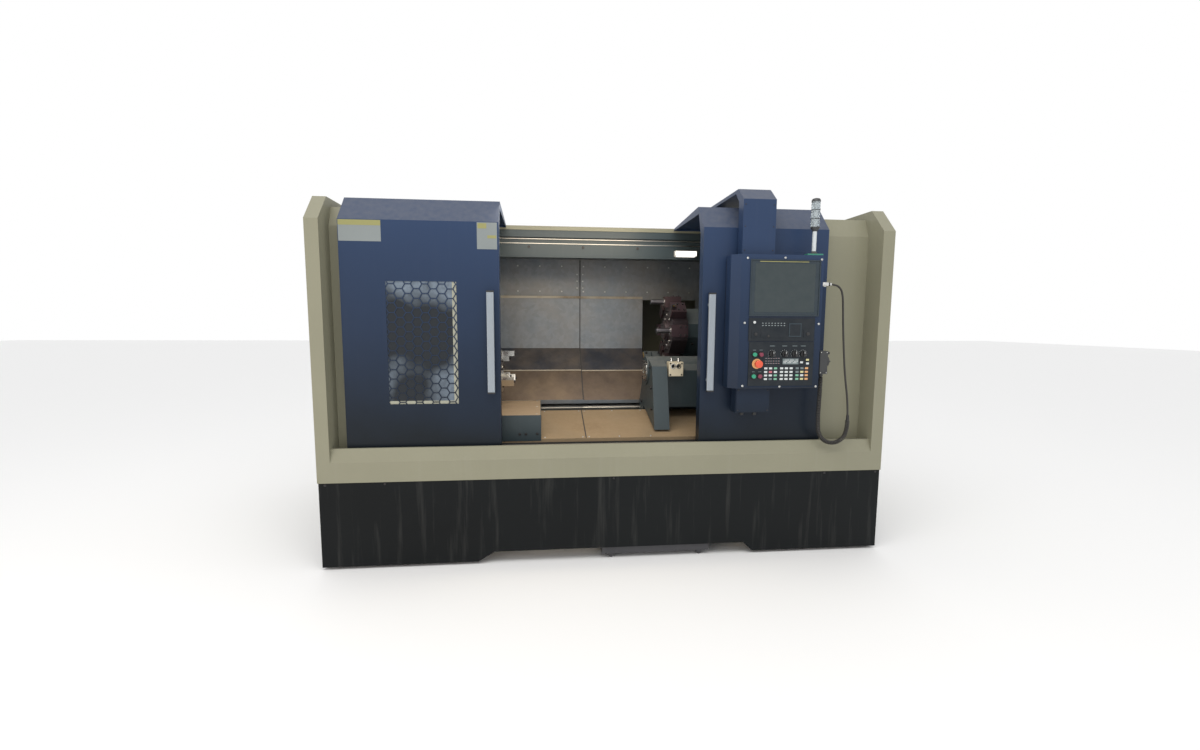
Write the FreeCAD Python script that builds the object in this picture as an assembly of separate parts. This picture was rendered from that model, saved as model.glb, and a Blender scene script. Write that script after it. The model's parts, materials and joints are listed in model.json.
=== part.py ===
# Slant-bed turning lathe with a folded-sheet guard, two sliding doors and a hanging operator console.
# Millimetres, +X to the right along the spindle, +Y to the back, +Z up, floor at Z = 0.
# Every piece is drawn with Y = 0 on the front face of the guard and is moved to the
# centre of the machine's box when it is written.
import FreeCAD, Part
import math
import os

V = FreeCAD.Vector

# ---------------------------------------------------------------- driving dimensions
WIDTH = 3000.0           # over the end covers
DEPTH = 1620.0           # guard front to rear cover
WING_TOP = 1882.0        # height of the end covers
SHEET = 3.0              # guard sheet
COVER_SHEET = 2.5        # way cover and chute sheet

LEFT = -WIDTH / 2
RIGHT = WIDTH / 2

# skirt and feet
FLOOR_GAP = 15.0         # floor to the skirt's lower edge
SKIRT_TOP = 457.0
SKIRT_SET = 4.0          # skirt stands this far inside the guard
SKIRT_LIP = 30.0
NOTCH_HEIGHT = 50.0
NOTCH_SLOPE_LEFT = 83.0
NOTCH_SLOPE_RIGHT = 53.0
NOTCH_FROM_LEFT = 788.0
NOTCH_FROM_RIGHT = 726.0
PAD_R = 45.0
PAD_H = 12.0
STUD_R = 12.0
STUD_HOLE_R = 12.3
NUT_R = 19.0
NUT_H = 18.0
FOOT_LUG_H = 30.0
FOOT_LUG = 110.0
FOOT_INSET = 70.0
FOOT_TANK_GAP = 100.0    # middle feet to the coolant tank

# coolant tank
TANK_LEFT_GAP = 1440.0   # left end of the machine to the tank
TANK_W = 590.0
TANK_FRONT_Y = 14.0
TANK_BOTTOM = 26.0
TANK_TOP = 330.0
TANK_WHEEL_X = 50.0      # tank's ends to its wheels
TANK_WHEEL_Y = 22.0
FORK_W = 32.0
TANK_WHEEL_T = 20.0

# end covers
WING_W = 66.0
WING_KNEE_DROP = 126.0   # from the top down to the knee
WING_RIDGE_Y = 118.0
WING_CUT_DROP = 40.0     # side roof down to the opening in the cover's inner skin

# sill
SILL_FACE_TOP = 561.0
SILL_LIP_Y = 25.0
SILL_LIP_Z = 627.0
SILL_LIP_W = 14.0
LEDGE_Z = 601.0
SILL_TUCK = 6.0          # sill reaches this far past the skirt's lip

# recessed front panels and side roofs
PANEL_Y = 133.0
PANEL_KNEE_DROP = 138.0  # below the end covers' top
PANEL_RIDGE_Y = 170.0
ROOF_STEP = 41.0         # side roofs below the end covers' top
ROOF_START_Y = 230.0
INNER_WINDOW_RISE = 22.0    # door window's sill to the opening behind it
INNER_WINDOW_TRIM = 24.0    # that opening is narrower than the window

# doors
DOOR_Y = 60.0
DOOR_T = 60.0
DOOR_BOTTOM = 621.0
DOOR_KNEE_DROP = 116.0
DOOR_RIDGE_Y = 175.0
DOOR_RIDGE_RISE = 9.0    # door ridge above the end covers' top
HOOD_END_Y = 698.0
HOOD_FALL = 30.0
HOOD_HEM = 13.0
DOOR_EDGE_SET = 15.0     # inner corners of the door's end plates
DOOR_EDGE_DROP = 40.0
DOOR_EDGE_KNEE = 26.0
LEFT_DOOR_GAP = 132.0    # left end of the machine to the left door
LEFT_DOOR_W = 779.0
RIGHT_DOOR_GAP = 338.0   # right end of the machine to the right door
RIGHT_DOOR_W = 689.0
WINDOW_INSET = 217.0     # door edge to the window
WINDOW_W = 347.0
WINDOW_LOW = 225.0       # door bottom to the window
WINDOW_H = 622.0
CELL_PITCH = 48.0        # hexagon pitch up the grille
CELL_WEB = 4.5
PANE_T = 5.0
PANE_LAP = 20.0
HANDLE_W = 36.0
HANDLE_T = 16.0
HANDLE_H = 520.0
HANDLE_STAND = 38.0
HANDLE_EDGE = 27.0       # handle to the door's meeting edge
HANDLE_LOW = 281.0       # door bottom to the handle
HANDLE_FILLET = 3.0
POST_INSET = 60.0
POST_R = 9.0
RAIL_W = 20.0
RAIL_H = 14.0
SHOE_L = 90.0
SHOE_INSET = 40.0
SHOE_CLEAR = 0.3
WHEEL_R = 12.0

# upper rail beam and roof
BEAM_Y = 710.0
BEAM_BACK = 790.0
BEAM_H = 192.0
BEAM_ROOF_DROP = 19.0    # rear roof below the end covers' top
ROOF_LIP = 25.0
GROOVE_LOW = 81.0
GROOVE_H = 43.0
GROOVE_DEEP = 20.0

# rear cover's vents
VENT_LEFT_GAP = 420.0
VENT_RIGHT_GAP = 780.0
VENT_ROWS = 10
VENT_Z = 1250.0
VENT_PITCH = 30.0
VENT_W = 360.0
VENT_H = 8.0

# chamber
CHAMBER_LEFT_GAP = 740.0    # left end of the machine to the chamber's left wall
CHAMBER_RIGHT_GAP = 400.0
OPENING_RIGHT_GAP = 860.0
WALL_Y = 1100.0
WALL_SEAM_Z = 1445.0        # upper edge of the way covers
WALL_LAP = 20.0             # back wall starts this far below that edge
COVER_KNEE_Z = 1086.0
COVER_LOW_Y = 765.0
COVER_LIFT = 6.0            # fixed cover stands above the sliding one
COVER_JOIN_GAP = 1400.0     # left end of the machine to the seam of the covers
COVER_LAP = 200.0
CHUTE_REAR_Y = 560.0
CHUTE_REAR_Z = 719.0
CHUTE_FRONT_Y = 200.0
CHUTE_FRONT_Z = 621.0
CHUTE_SEAM = 0.8
CHUTE_SEAM_GAP = 30.0       # seam of the covers to the seam of the chute
CHUTE_EDGE = 25.0           # turned-down front edge of the chute
CHUTE_DROP = 20.0           # chute's rear edge below the way ledge
WALL_RISE = 30.0            # back wall above the beam's lower side
WALL_TUCK = 30.0            # side walls below the chute
BEAM_TUCK = 6.0             # side walls to the beam
COVER_STAND = 9.0           # sliding covers in front of the back wall
COVER_HEM = 22.0
RUN_GAP = 14.0              # moving covers and tailstock to the fixed sheet near them
GUARD_RIGHT_GAP = 1119.0    # left end of the machine to the chuck guard's right side
GUARD_TOP = 755.0
GUARD_BACK_Y = 740.0
GUARD_HEM = 20.0
GUARD_RETURN_Y = 600.0
GUARD_END_Y = 575.0

# spindle line
SPINDLE_Y = 520.0
SPINDLE_Z = 970.0
SPINDLE_R = 70.0
SPINDLE_BORE_R = 26.0
SPINDLE_CLEAR = 0.05
SPINDLE_FLANGE_R = 110.0
SPINDLE_FLANGE_T = 22.0
SPINDLE_TAIL = 100.0
HEAD_L = 345.0
HEAD_FROM_WALL = 18.0
HEAD_U = (975.0, 1300.0)    # its foot along the slope of the bed
HEAD_FRONT = 180.0          # outline of the casting about the spindle
HEAD_SIDE = 110.0
HEAD_TOP_FRONT = 100.0
HEAD_TOP_BACK = 120.0
HEAD_TOP = 180.0
HEAD_KNEE = (-90.0, -190.0)
HEAD_TOE_Y = 80.0
HEAD_HEEL = 40.0
CAP_T = 6.0
CAP_INSET = 12.0            # nose hole to the bearing cap
RIM_T = 6.0                 # pulley rims
RIM_H = 6.0
CHUCK_R = 127.0
CHUCK_L = 118.0
CHUCK_BORE_R = 37.5
CHUCK_PLATE_T = 20.0
CHUCK_PLATE_INSET = 12.0
CHUCK_CHAMFER = 4.0
NOSE_HOLE_R = 150.0
JAW_COUNT = 3
JAW_W = 44.0
JAW_IN = 62.0
JAW_OUT = 122.0
JAW_STEP = 92.0
JAW_BASE_L = 40.0
JAW_L = 71.0
TONGUE_W = 24.0
TONGUE_L = 25.0
TONGUE_CLEAR = 0.1
JAW_LIFT = 0.3              # jaw above the chuck's face
PULLEY_W = 54.0
SPINDLE_PULLEY_R = 110.0
MOTOR_PULLEY_R = 65.0
BELT_T = 9.0
BELT_GAP = 0.3
MOTOR_SKIRT_GAP = 30.0      # skirt to the motor's fins
MOTOR_BED_GAP = 15.0        # motor to the bed's front wall
MOTOR_Z = 210.0
MOTOR_R = 135.0
MOTOR_L = 370.0
MOTOR_SHAFT_R = 24.0
MOTOR_SHAFT_IN = 60.0
MOTOR_GAP = 12.0            # pulley to the motor's end
MOTOR_FOOT_INSET = 60.0
MOTOR_FOOT_W = 90.0
MOTOR_FOOT_DROP = 13.0      # motor down to the underside of its foot
MOTOR_BEAM_H = 30.0
FIN_COUNT = 16
FIN_SPAN = (30.0, 40.0)     # motor's ends to the fins
FIN_T = 5.0
FIN_H = 8.0
TERMINAL_X = (90.0, 230.0)
TERMINAL_W = 120.0
TERMINAL_H = 50.0

# bed and slides; the bed slopes at 45 degrees, so each point is also given
# by U, up the slope, and N, square to it
BED_LEFT_GAP = 380.0
BED_RIGHT_GAP = 300.0
BED_BOTTOM = 30.0
BED_BACK_Y = 1230.0
BED_SHELF_Y = 590.0
BED_WALL = 35.0
BED_BAYS = 8
BED_N = -85.0
BED_FRONT_Z = 420.0         # top of the bed's front wall
BED_SHELF_Z = 500.0
WAY_LEDGE_Z = 540.0
WAY_FOOT_Y = 740.0          # foot of the sloping face
GUIDE_W = 45.0
GUIDE_H = 35.0
GUIDE_CLEAR = 0.3
GUIDE_U = (1060.0, 1420.0)
SADDLE_U = (1018.0, 1085.0, 1480.0)
SADDLE_N = (-78.0, -45.0, 20.0)
SADDLE_X_GAP = 1148.0       # right end of the machine to the saddle's left face
SADDLE_W = 388.0
SLIDE_U = (1185.0, 1440.0)
SLIDE_N = 60.0
SLIDE_GAP = 0.3
HOUSING_U = (1269.0, 1529.0)
HOUSING_N = (110.0, 448.0)
HOUSING_CORNER = 60.0
HOUSING_GAP = 4.0           # turret disc to the housing
SLIDE_INSET = (48.0, 40.0)  # saddle's ends to the cross slide's
TURRET_U = 1399.0
TURRET_X_GAP = 1045.0       # right end of the machine to the turret disc's left face
TURRET_T = 100.0
TURRET_FLAT = 150.0
TURRET_STATIONS = 8
TURRET_BORE_R = 60.0
TURRET_CLEAR = 0.05
BOSS_L = 40.0
BOSS_END_CLEAR = 0.3
HUB_R = 70.0
HUB_T = 14.0
HOLDER_REACH = 20.0         # square-shank holders reach this far past the block's left
HOLDER_H = 62.0
BAR_HOLDER_REACH = 30.0
BAR_HOLDER_W = 76.0
HOLDER_TRIM = 10.0
SHANK_LOW = 2.0             # shank below the turret's middle
TIP_L = 14.0
TIP_T = 6.0
BLOCK_W = 86.0
BLOCK_L = 84.0
BLOCK_H = 40.0
TOOL_SIZE = 25.0
TOOL_REACH = 250.0
BAR_R = 16.0
BAR_L = 120.0

# tailstock
TAIL_X_GAP = 1230.0         # right end of the machine to the tailstock's left face
TAIL_LEG_W = 90.0
TAIL_L = 370.0
TAIL_BARREL_R = 88.0
TAIL_BARREL_NOSE = 8.0
TAIL_BARREL_TAIL = 20.0
TAIL_TOE_Y = 255.0          # front of the leg
TAIL_FOOT_Y = (602.0, 733.0)
TAIL_SHELF_Y = 575.0
TAIL_CLEAR = 0.3
QUILL_R = 45.0
QUILL_CLEAR = 0.05
QUILL_L = 300.0
QUILL_NOSE = 8.0
QUILL_CHAMFER = 3.0
TAPER_BIG_R = 22.0
TAPER_SMALL_R = 18.0
TAPER_L = 110.0
PORT_R = 11.0
PORT_X = (26.0, 58.0)
PORT_RISE = 40.0
PORT_DEEP = 24.0
MANIFOLD_GAP = 11.0         # leg to the manifold
MANIFOLD_W = 86.0
MANIFOLD_Y = (348.0, 400.0)
MANIFOLD_LOW = 19.0
MANIFOLD_HIGH = 65.0

# console
CONSOLE_RIGHT_GAP = 425.0   # right end of the machine to the console's right side
CONSOLE_W = 480.0
CONSOLE_FRONT = -60.0
CONSOLE_BACK = 45.0
CONSOLE_BOTTOM = 927.0
CONSOLE_TOP = 1616.0
CONSOLE_CHAMFER = 40.0
CABLE_WAY_IN = 20.0
CABLE_WAY_SET = 12.0
BEZEL_T = 4.0
BODY_INSET = 16.0
BODY_DEPTH = 40.0
CUT_GAP = 0.8
SCREEN_RIM = 4.0
SCREEN_RECESS = 2.0
DUCT_W = 175.0
DUCT_LEFT_GAP = 848.0       # right end of the machine to the duct's left side
PANEL_GAP = (386.0, 35.0)   # console's right side to the ends of the key panel
DUCT_FRONT = -20.0
DUCT_KNEE_RISE = 15.0       # duct knee above the end covers' top
DUCT_RIDGE_RISE = 81.0
DUCT_RIDGE_Y = 60.0
DUCT_ARM_H = 18.0
DUCT_THROAT = 50.0
DUCT_LEG_Y = (760.0, 840.0)
BUTTON_R = 11.0
BUTTON_GAP = 0.4
BUTTON_STAND = 11.0
STOP_R = 20.0
STOP_STAND = 36.0
KNOB_R = 15.0
KNOB_STAND = 22.0
KNOB_STEM_R = 4.0
KNOB_GRIP_W = 8.0
BUTTON_DEEP = 14.0
BUTTON_STROKE = 6.0
STOP_STROKE = 8.0
STOP_HEAD_T = 14.0
STOP_FILLET = 5.0
STOP_CONE_H = 8.0
KNOB_GRIP_T = 10.0
STOP_STEM_R = 11.0
STEM_CLEAR = 0.05

BOX_X = (45.0, 230.0)       # junction box below the console
BOX_FRONT = 30.0
BOX_BACK = 5.0
BOX_H = 132.0

# stack lamp: heights above the console, and radii
LAMP_INSET = 45.0           # console's right side to the lamp
LAMP_SET = 25.0
LAMP_BASE = (84.0, 40.0, 8.0)
LAMP_POLE_R = 11.0
LAMP_POLE_TOP = 124.0
LAMP_CUP_H = 20.0
LAMP_R = 23.0
LAMP_LENS_H = 130.0
LAMP_CAP_R = 20.0
LAMP_CAP_H = 15.0

# work light
LIGHT_GAP = 165.0           # opening's right side to the light's left end
LIGHT_W = 140.0
LIGHT_Y = (52.0, 16.0)      # its front and back before the beam
LIGHT_RISE = 15.0
LIGHT_H = 34.0
LIGHT_ARM_X = (50.0, 90.0)
LIGHT_ARM_Z = (8.0, 26.0)

# pendant and its cord
GLAND_Z = 1472.0
GLAND_Y = -12.0
GLAND_L = 71.0
GLAND_NUT_R = 17.0
GLAND_NUT_T = 14.0
GLAND_NECK_R = 11.5
GLAND_NECK_L = 53.0
GLAND_SLEEVE_R = 8.5
CABLE_D = 10.0
COIL_D = 24.0
PENDANT_OFF = 9.0
PENDANT_T = 46.0
PENDANT_W = 62.0
PENDANT_H = 122.0
PENDANT_Z = 1000.0
PENDANT_Y = -19.0
PENDANT_FILLET = 5.0
WHEEL_RISE = 66.0
WHEEL_T = 11.0
WHEEL_DISH = 3.0
WHEEL_RIM = 5.0
WHEEL_GAP = 0.5
CRANK_R = 4.0
CRANK_OFF = 15.0
CRANK_L = 9.0
AXLE_DEEP = 20.0
WHEEL_FACE_R = 26.0


# ---------------------------------------------------------------- helpers
def block(x0, x1, y0, y1, z0, z1):
    return Part.makeBox(x1 - x0, y1 - y0, z1 - z0, V(x0, y0, z0))


def rod_x(x0, x1, y, z, radius):
    return Part.makeCylinder(radius, x1 - x0, V(x0, y, z), V(1, 0, 0))


def rod_y(x, y0, y1, z, radius):
    return Part.makeCylinder(radius, y1 - y0, V(x, y0, z), V(0, 1, 0))


def rod_z(x, y, z0, z1, radius):
    return Part.makeCylinder(radius, z1 - z0, V(x, y, z0), V(0, 0, 1))


def closed_face(points):
    return Part.Face(Part.makePolygon(points + [points[0]]))


def prism_x(outline, x0, x1):
    """Outline of (y, z) points pushed from x0 to x1."""
    return closed_face([V(x0, y, z) for y, z in outline]).extrude(V(x1 - x0, 0, 0))


def prism_y(outline, y0, y1):
    """Outline of (x, z) points pushed from y0 to y1."""
    return closed_face([V(x, y0, z) for x, z in outline]).extrude(V(0, y1 - y0, 0))


def prism_z(outline, z0, z1):
    """Outline of (x, y) points pushed from z0 to z1."""
    return closed_face([V(x, y, z0) for x, y in outline]).extrude(V(0, 0, z1 - z0))


def offset_path(path, distance):
    """The path moved sideways to its right by the distance, with sharp corners."""
    moved = []
    count = len(path)
    for index in range(count):
        sides = []
        for a, b in ((index - 1, index), (index, index + 1)):
            if a < 0 or b >= count:
                continue
            run = (path[b][0] - path[a][0], path[b][1] - path[a][1])
            length = math.hypot(*run)
            sides.append((run[1] / length, -run[0] / length))
        if len(sides) == 1:
            normal = sides[0]
            scale = distance
        else:
            normal = (sides[0][0] + sides[1][0], sides[0][1] + sides[1][1])
            scale = distance / (1 + sides[0][0] * sides[1][0] + sides[0][1] * sides[1][1])
        moved.append((path[index][0] + normal[0] * scale, path[index][1] + normal[1] * scale))
    return moved


def folded(path, thickness, x0, x1):
    """A folded sheet whose outer side follows a path of (y, z) points."""
    inner = offset_path(path, thickness)
    return prism_x(path + inner[::-1], x0, x1)


def join(shapes):
    result = shapes[0]
    if len(shapes) > 1:
        result = shapes[0].multiFuse(shapes[1:])
    return result.removeSplitter()


def slope(u, n):
    """(y, z) of a point at U up the slope and N square to it."""
    return ((u - n) / math.sqrt(2), (u + n) / math.sqrt(2))


def polar(radius, angle):
    return (radius * math.cos(angle), radius * math.sin(angle))


def belt_outline(y0, z0, r0, y1, z1, r1, x0, x1):
    """Solid inside a tight loop round two circles in the YZ plane."""
    gap = math.hypot(y1 - y0, z1 - z0)
    along = math.atan2(z1 - z0, y1 - y0)
    spread = math.acos((r0 - r1) / gap)
    corners = []
    for sign in (1, -1):
        turn = along + sign * spread
        a = (y0 + r0 * math.cos(turn), z0 + r0 * math.sin(turn))
        b = (y1 + r1 * math.cos(turn), z1 + r1 * math.sin(turn))
        corners.append((V(x0, *a), V(x0, *b)))
    far0 = V(x0, y0 - r0 * math.cos(along), z0 - r0 * math.sin(along))
    far1 = V(x0, y1 + r1 * math.cos(along), z1 + r1 * math.sin(along))
    edges = [
        Part.makeLine(*corners[0]),
        Part.Arc(corners[0][1], far1, corners[1][1]).toShape(),
        Part.makeLine(corners[1][1], corners[1][0]),
        Part.Arc(corners[1][0], far0, corners[0][0]).toShape(),
    ]
    return Part.Face(Part.Wire(edges)).extrude(V(x1 - x0, 0, 0))


# ---------------------------------------------------------------- derived places
MOTOR_Y = SKIRT_SET + SHEET + MOTOR_SKIRT_GAP + FIN_H + MOTOR_R
BED_FRONT_Y = MOTOR_Y + MOTOR_R + MOTOR_BED_GAP
CENTRE_Y = (DEPTH + CONSOLE_FRONT - BEZEL_T - STOP_STAND) / 2
DOOR_KNEE = WING_TOP - DOOR_KNEE_DROP
DOOR_RIDGE = WING_TOP + DOOR_RIDGE_RISE
HOOD_END_Z = DOOR_RIDGE - HOOD_FALL
SIDE_ROOF = WING_TOP - ROOF_STEP
REAR_ROOF = WING_TOP - BEAM_ROOF_DROP
BEAM_BOTTOM = REAR_ROOF - BEAM_H
WALL_TOP = BEAM_BOTTOM + WALL_RISE
CHAMBER_LEFT = LEFT + CHAMBER_LEFT_GAP
CHAMBER_RIGHT = RIGHT - CHAMBER_RIGHT_GAP
OPENING_RIGHT = RIGHT - OPENING_RIGHT_GAP
COVER_JOIN = LEFT + COVER_JOIN_GAP
SADDLE_LEFT = RIGHT - SADDLE_X_GAP
TURRET_LEFT = RIGHT - TURRET_X_GAP
TURRET_RIGHT = TURRET_LEFT + TURRET_T
SPINDLE_N = (SPINDLE_Z - SPINDLE_Y) / math.sqrt(2)
TURRET_Y, TURRET_Z = slope(TURRET_U, SPINDLE_N)
TAIL_LEFT = RIGHT - TAIL_X_GAP
HEAD_RIGHT = CHAMBER_LEFT - HEAD_FROM_WALL
HEAD_LEFT = HEAD_RIGHT - HEAD_L
FLANGE_LEFT = HEAD_RIGHT + 8.0
CHUCK_PLATE_LEFT = FLANGE_LEFT + SPINDLE_FLANGE_T
CHUCK_LEFT = CHUCK_PLATE_LEFT + CHUCK_PLATE_T
CHUCK_FACE = CHUCK_LEFT + CHUCK_L
PULLEY_RIGHT = HEAD_LEFT - 15.0
PULLEY_LEFT = PULLEY_RIGHT - PULLEY_W
CONSOLE_RIGHT = RIGHT - CONSOLE_RIGHT_GAP
CONSOLE_LEFT = CONSOLE_RIGHT - CONSOLE_W
PANEL_FACE = CONSOLE_FRONT - BEZEL_T

os.makedirs("parts", exist_ok=True)


def save(node, *solids):
    shape = solids[0] if len(solids) == 1 else Part.makeCompound(list(solids))
    shape = shape.copy()
    shape.translate(V(0, -CENTRE_Y, 0))
    shape.exportStep("parts/" + node + ".step")


# ---------------------------------------------------------------- base
def skirt_panels():
    low = FLOOR_GAP
    left = LEFT + SKIRT_SET
    right = RIGHT - SKIRT_SET
    notch = [
        (LEFT + NOTCH_FROM_LEFT, low - 1),
        (LEFT + NOTCH_FROM_LEFT, low),
        (LEFT + NOTCH_FROM_LEFT + NOTCH_SLOPE_LEFT, low + NOTCH_HEIGHT),
        (RIGHT - NOTCH_FROM_RIGHT - NOTCH_SLOPE_RIGHT, low + NOTCH_HEIGHT),
        (RIGHT - NOTCH_FROM_RIGHT, low),
        (RIGHT - NOTCH_FROM_RIGHT, low - 1),
    ]
    front_y = SKIRT_SET
    front = folded(
        [(front_y, low), (front_y, SKIRT_TOP), (front_y + SKIRT_LIP, SKIRT_TOP)], SHEET, left, right
    )
    front = front.cut(prism_y(notch, front_y - 1, front_y + SHEET + 1))
    back = block(left, right, DEPTH - SKIRT_SET - SHEET, DEPTH - SKIRT_SET, low, SKIRT_TOP)
    sides = []
    for x in (left, right - SHEET):
        sides.append(block(x, x + SHEET, front_y + SHEET, DEPTH - SKIRT_SET - SHEET, low, SKIRT_TOP - SHEET))
    return [front, sides[0], sides[1], back]


TANK_LEFT = LEFT + TANK_LEFT_GAP
BED_LEFT = LEFT + BED_LEFT_GAP
BED_RIGHT = RIGHT - BED_RIGHT_GAP
FOOT_X = [BED_LEFT + FOOT_INSET, TANK_LEFT - FOOT_TANK_GAP, BED_RIGHT - FOOT_INSET]
FRONT_FOOT_Y = BED_FRONT_Y - FOOT_LUG / 2
INNER_FOOT_Y = BED_FRONT_Y + BED_WALL + FOOT_LUG / 2     # behind the spindle motor
REAR_FOOT_Y = BED_BACK_Y + FOOT_LUG / 2
FEET = [(FOOT_X[0], INNER_FOOT_Y, BED_FRONT_Y)]
FEET += [(x, FRONT_FOOT_Y, BED_FRONT_Y) for x in FOOT_X[1:]]
FEET += [(x, REAR_FOOT_Y, BED_BACK_Y) for x in FOOT_X]


def levelling_feet():
    feet = []
    for x, y, wall in FEET:
        pad = rod_z(x, y, 0, PAD_H, PAD_R)
        nut = rod_z(x, y, PAD_H, BED_BOTTOM, NUT_R)
        stud = rod_z(x, y, PAD_H, BED_BOTTOM + FOOT_LUG_H + NUT_H + PAD_H, STUD_R)
        lock = rod_z(x, y, BED_BOTTOM + FOOT_LUG_H, BED_BOTTOM + FOOT_LUG_H + NUT_H, NUT_R)
        feet.append(join([pad, nut, stud, lock]))
    return feet


def bed_casting():
    u_top = (BED_BACK_Y - FOOT_LUG) * math.sqrt(2) + BED_N
    top = slope(u_top, BED_N)
    foot_y = WAY_FOOT_Y
    low = slope(foot_y * math.sqrt(2) + BED_N, BED_N)
    outline = [
        (BED_FRONT_Y, BED_BOTTOM),
        (BED_FRONT_Y, BED_FRONT_Z),
        (BED_SHELF_Y, BED_SHELF_Z),
        (BED_SHELF_Y, WAY_LEDGE_Z),
        (foot_y, WAY_LEDGE_Z),
        low,
        top,
        (BED_BACK_Y, top[1]),
        (BED_BACK_Y, BED_BOTTOM),
    ]
    bed = prism_x(outline, BED_LEFT, BED_RIGHT)
    inner = offset_path(outline, BED_WALL)
    inner[0] = (inner[0][0], BED_BOTTOM - 1)
    inner[-1] = (inner[-1][0], BED_BOTTOM - 1)
    bay = (BED_RIGHT - BED_LEFT - BED_WALL) / BED_BAYS
    for index in range(BED_BAYS):
        x0 = BED_LEFT + BED_WALL + index * bay
        bed = bed.cut(prism_x(inner, x0, x0 + bay - BED_WALL))
    lugs = []
    for x, y, wall in FEET:
        far = y + math.copysign(FOOT_LUG / 2, y - wall)
        near, far = sorted((wall, far))
        lugs.append(block(
            x - FOOT_LUG / 2, x + FOOT_LUG / 2, near, far, BED_BOTTOM, BED_BOTTOM + FOOT_LUG_H
        ))
    bed = join([bed] + lugs)
    for x, y, wall in FEET:
        bed = bed.cut(rod_z(x, y, BED_BOTTOM - 1, BED_BOTTOM + FOOT_LUG_H + 1, STUD_HOLE_R))
    return bed


def z_guideways():
    guides = []
    for u in GUIDE_U:
        outline = [
            slope(u - GUIDE_W / 2, BED_N),
            slope(u - GUIDE_W / 2, BED_N + GUIDE_H),
            slope(u + GUIDE_W / 2, BED_N + GUIDE_H),
            slope(u + GUIDE_W / 2, BED_N),
        ]
        guides.append(prism_x(outline, CHAMBER_LEFT + 20, BED_RIGHT - 10))
    return guides


def coolant_tank():
    x0, x1 = TANK_LEFT, TANK_LEFT + TANK_W
    y0, y1 = TANK_FRONT_Y, BED_FRONT_Y
    z0, z1 = TANK_BOTTOM, TANK_TOP
    tank = block(x0, x1, y0, y1, z0, z1)
    tank = tank.cut(block(x0 + SHEET, x1 - SHEET, y0 + SHEET, y1 - SHEET, z0 + SHEET, z1 + 1))
    wheels = []
    for x in (x0 + TANK_WHEEL_X, x1 - TANK_WHEEL_X):
        for y in (y0 + TANK_WHEEL_Y, y1 - TANK_WHEEL_Y):
            near, far = y - TANK_WHEEL_T / 2, y + TANK_WHEEL_T / 2
            fork = block(x - FORK_W / 2, x + FORK_W / 2, near, far, WHEEL_R + 1, z0)
            wheels.append(join([fork, rod_y(x, near, far, WHEEL_R, WHEEL_R)]))
    return join([tank] + wheels)


# ---------------------------------------------------------------- guard
def end_cover(x0, x1, inner_x0):
    knee = WING_TOP - WING_KNEE_DROP
    path = [(0, SKIRT_TOP), (0, knee), (WING_RIDGE_Y, WING_TOP), (DEPTH - SHEET, WING_TOP)]
    body = prism_x(path + [(DEPTH - SHEET, SKIRT_TOP)], x0, x1)
    hollow = offset_path(path, SHEET)
    hollow[0] = (hollow[0][0], SKIRT_TOP - 1)
    hollow[-1] = (DEPTH, hollow[-1][1])
    body = body.cut(prism_x(hollow + [(DEPTH, SKIRT_TOP - 1)], x0 + SHEET, x1 - SHEET))
    cut_top = SIDE_ROOF - WING_CUT_DROP
    back = block(inner_x0 - 1, inner_x0 + SHEET + 1, ROOF_START_Y, DEPTH, SKIRT_TOP - 1, cut_top)
    return body.cut(back)


def end_covers():
    left = end_cover(LEFT, LEFT + WING_W, LEFT + WING_W - SHEET)
    right = end_cover(RIGHT - WING_W, RIGHT, RIGHT - WING_W)
    return [left, right]


def front_sill():
    path = [
        (SKIRT_SET + SKIRT_LIP + SILL_TUCK, SKIRT_TOP),
        (0, SKIRT_TOP),
        (0, SILL_FACE_TOP),
        (SILL_LIP_Y, SILL_LIP_Z),
        (SILL_LIP_Y + SILL_LIP_W, SILL_LIP_Z),
        (SILL_LIP_Y + SILL_LIP_W, LEDGE_Z),
        (PANEL_Y + SHEET, LEDGE_Z),
    ]
    return folded(path, SHEET, LEFT + WING_W, RIGHT - WING_W)


def lower_rail():
    middle = DOOR_Y + DOOR_T / 2
    return block(
        LEFT + WING_W, RIGHT - WING_W, middle - RAIL_W / 2, middle + RAIL_W / 2, LEDGE_Z, LEDGE_Z + RAIL_H
    )


def front_panels():
    knee = WING_TOP - PANEL_KNEE_DROP
    path = [(PANEL_Y, LEDGE_Z), (PANEL_Y, knee), (PANEL_RIDGE_Y, SIDE_ROOF), (ROOF_START_Y, SIDE_ROOF)]
    left = folded(path, SHEET, LEFT + WING_W, CHAMBER_LEFT + SHEET)
    x0 = LEFT + LEFT_DOOR_GAP + WINDOW_INSET
    z0 = DOOR_BOTTOM + WINDOW_LOW + INNER_WINDOW_RISE
    window = block(x0, x0 + WINDOW_W - INNER_WINDOW_TRIM, PANEL_Y - 1, PANEL_Y + SHEET + 1, z0, z0 + WINDOW_H)
    right = folded(path, SHEET, OPENING_RIGHT, RIGHT - WING_W)
    return [left.cut(window), right]


def roof_panels():
    lip_y = BEAM_Y - SHEET
    rear = folded(
        [(lip_y, REAR_ROOF - ROOF_LIP), (lip_y, REAR_ROOF), (DEPTH - SHEET, REAR_ROOF)],
        SHEET, LEFT + WING_W, RIGHT - WING_W,
    )
    left = block(LEFT + WING_W, CHAMBER_LEFT + SHEET, ROOF_START_Y, lip_y, SIDE_ROOF - SHEET, SIDE_ROOF)
    right = block(OPENING_RIGHT, RIGHT - WING_W, ROOF_START_Y, lip_y, SIDE_ROOF - SHEET, SIDE_ROOF)
    return [rear, left, right]


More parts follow.
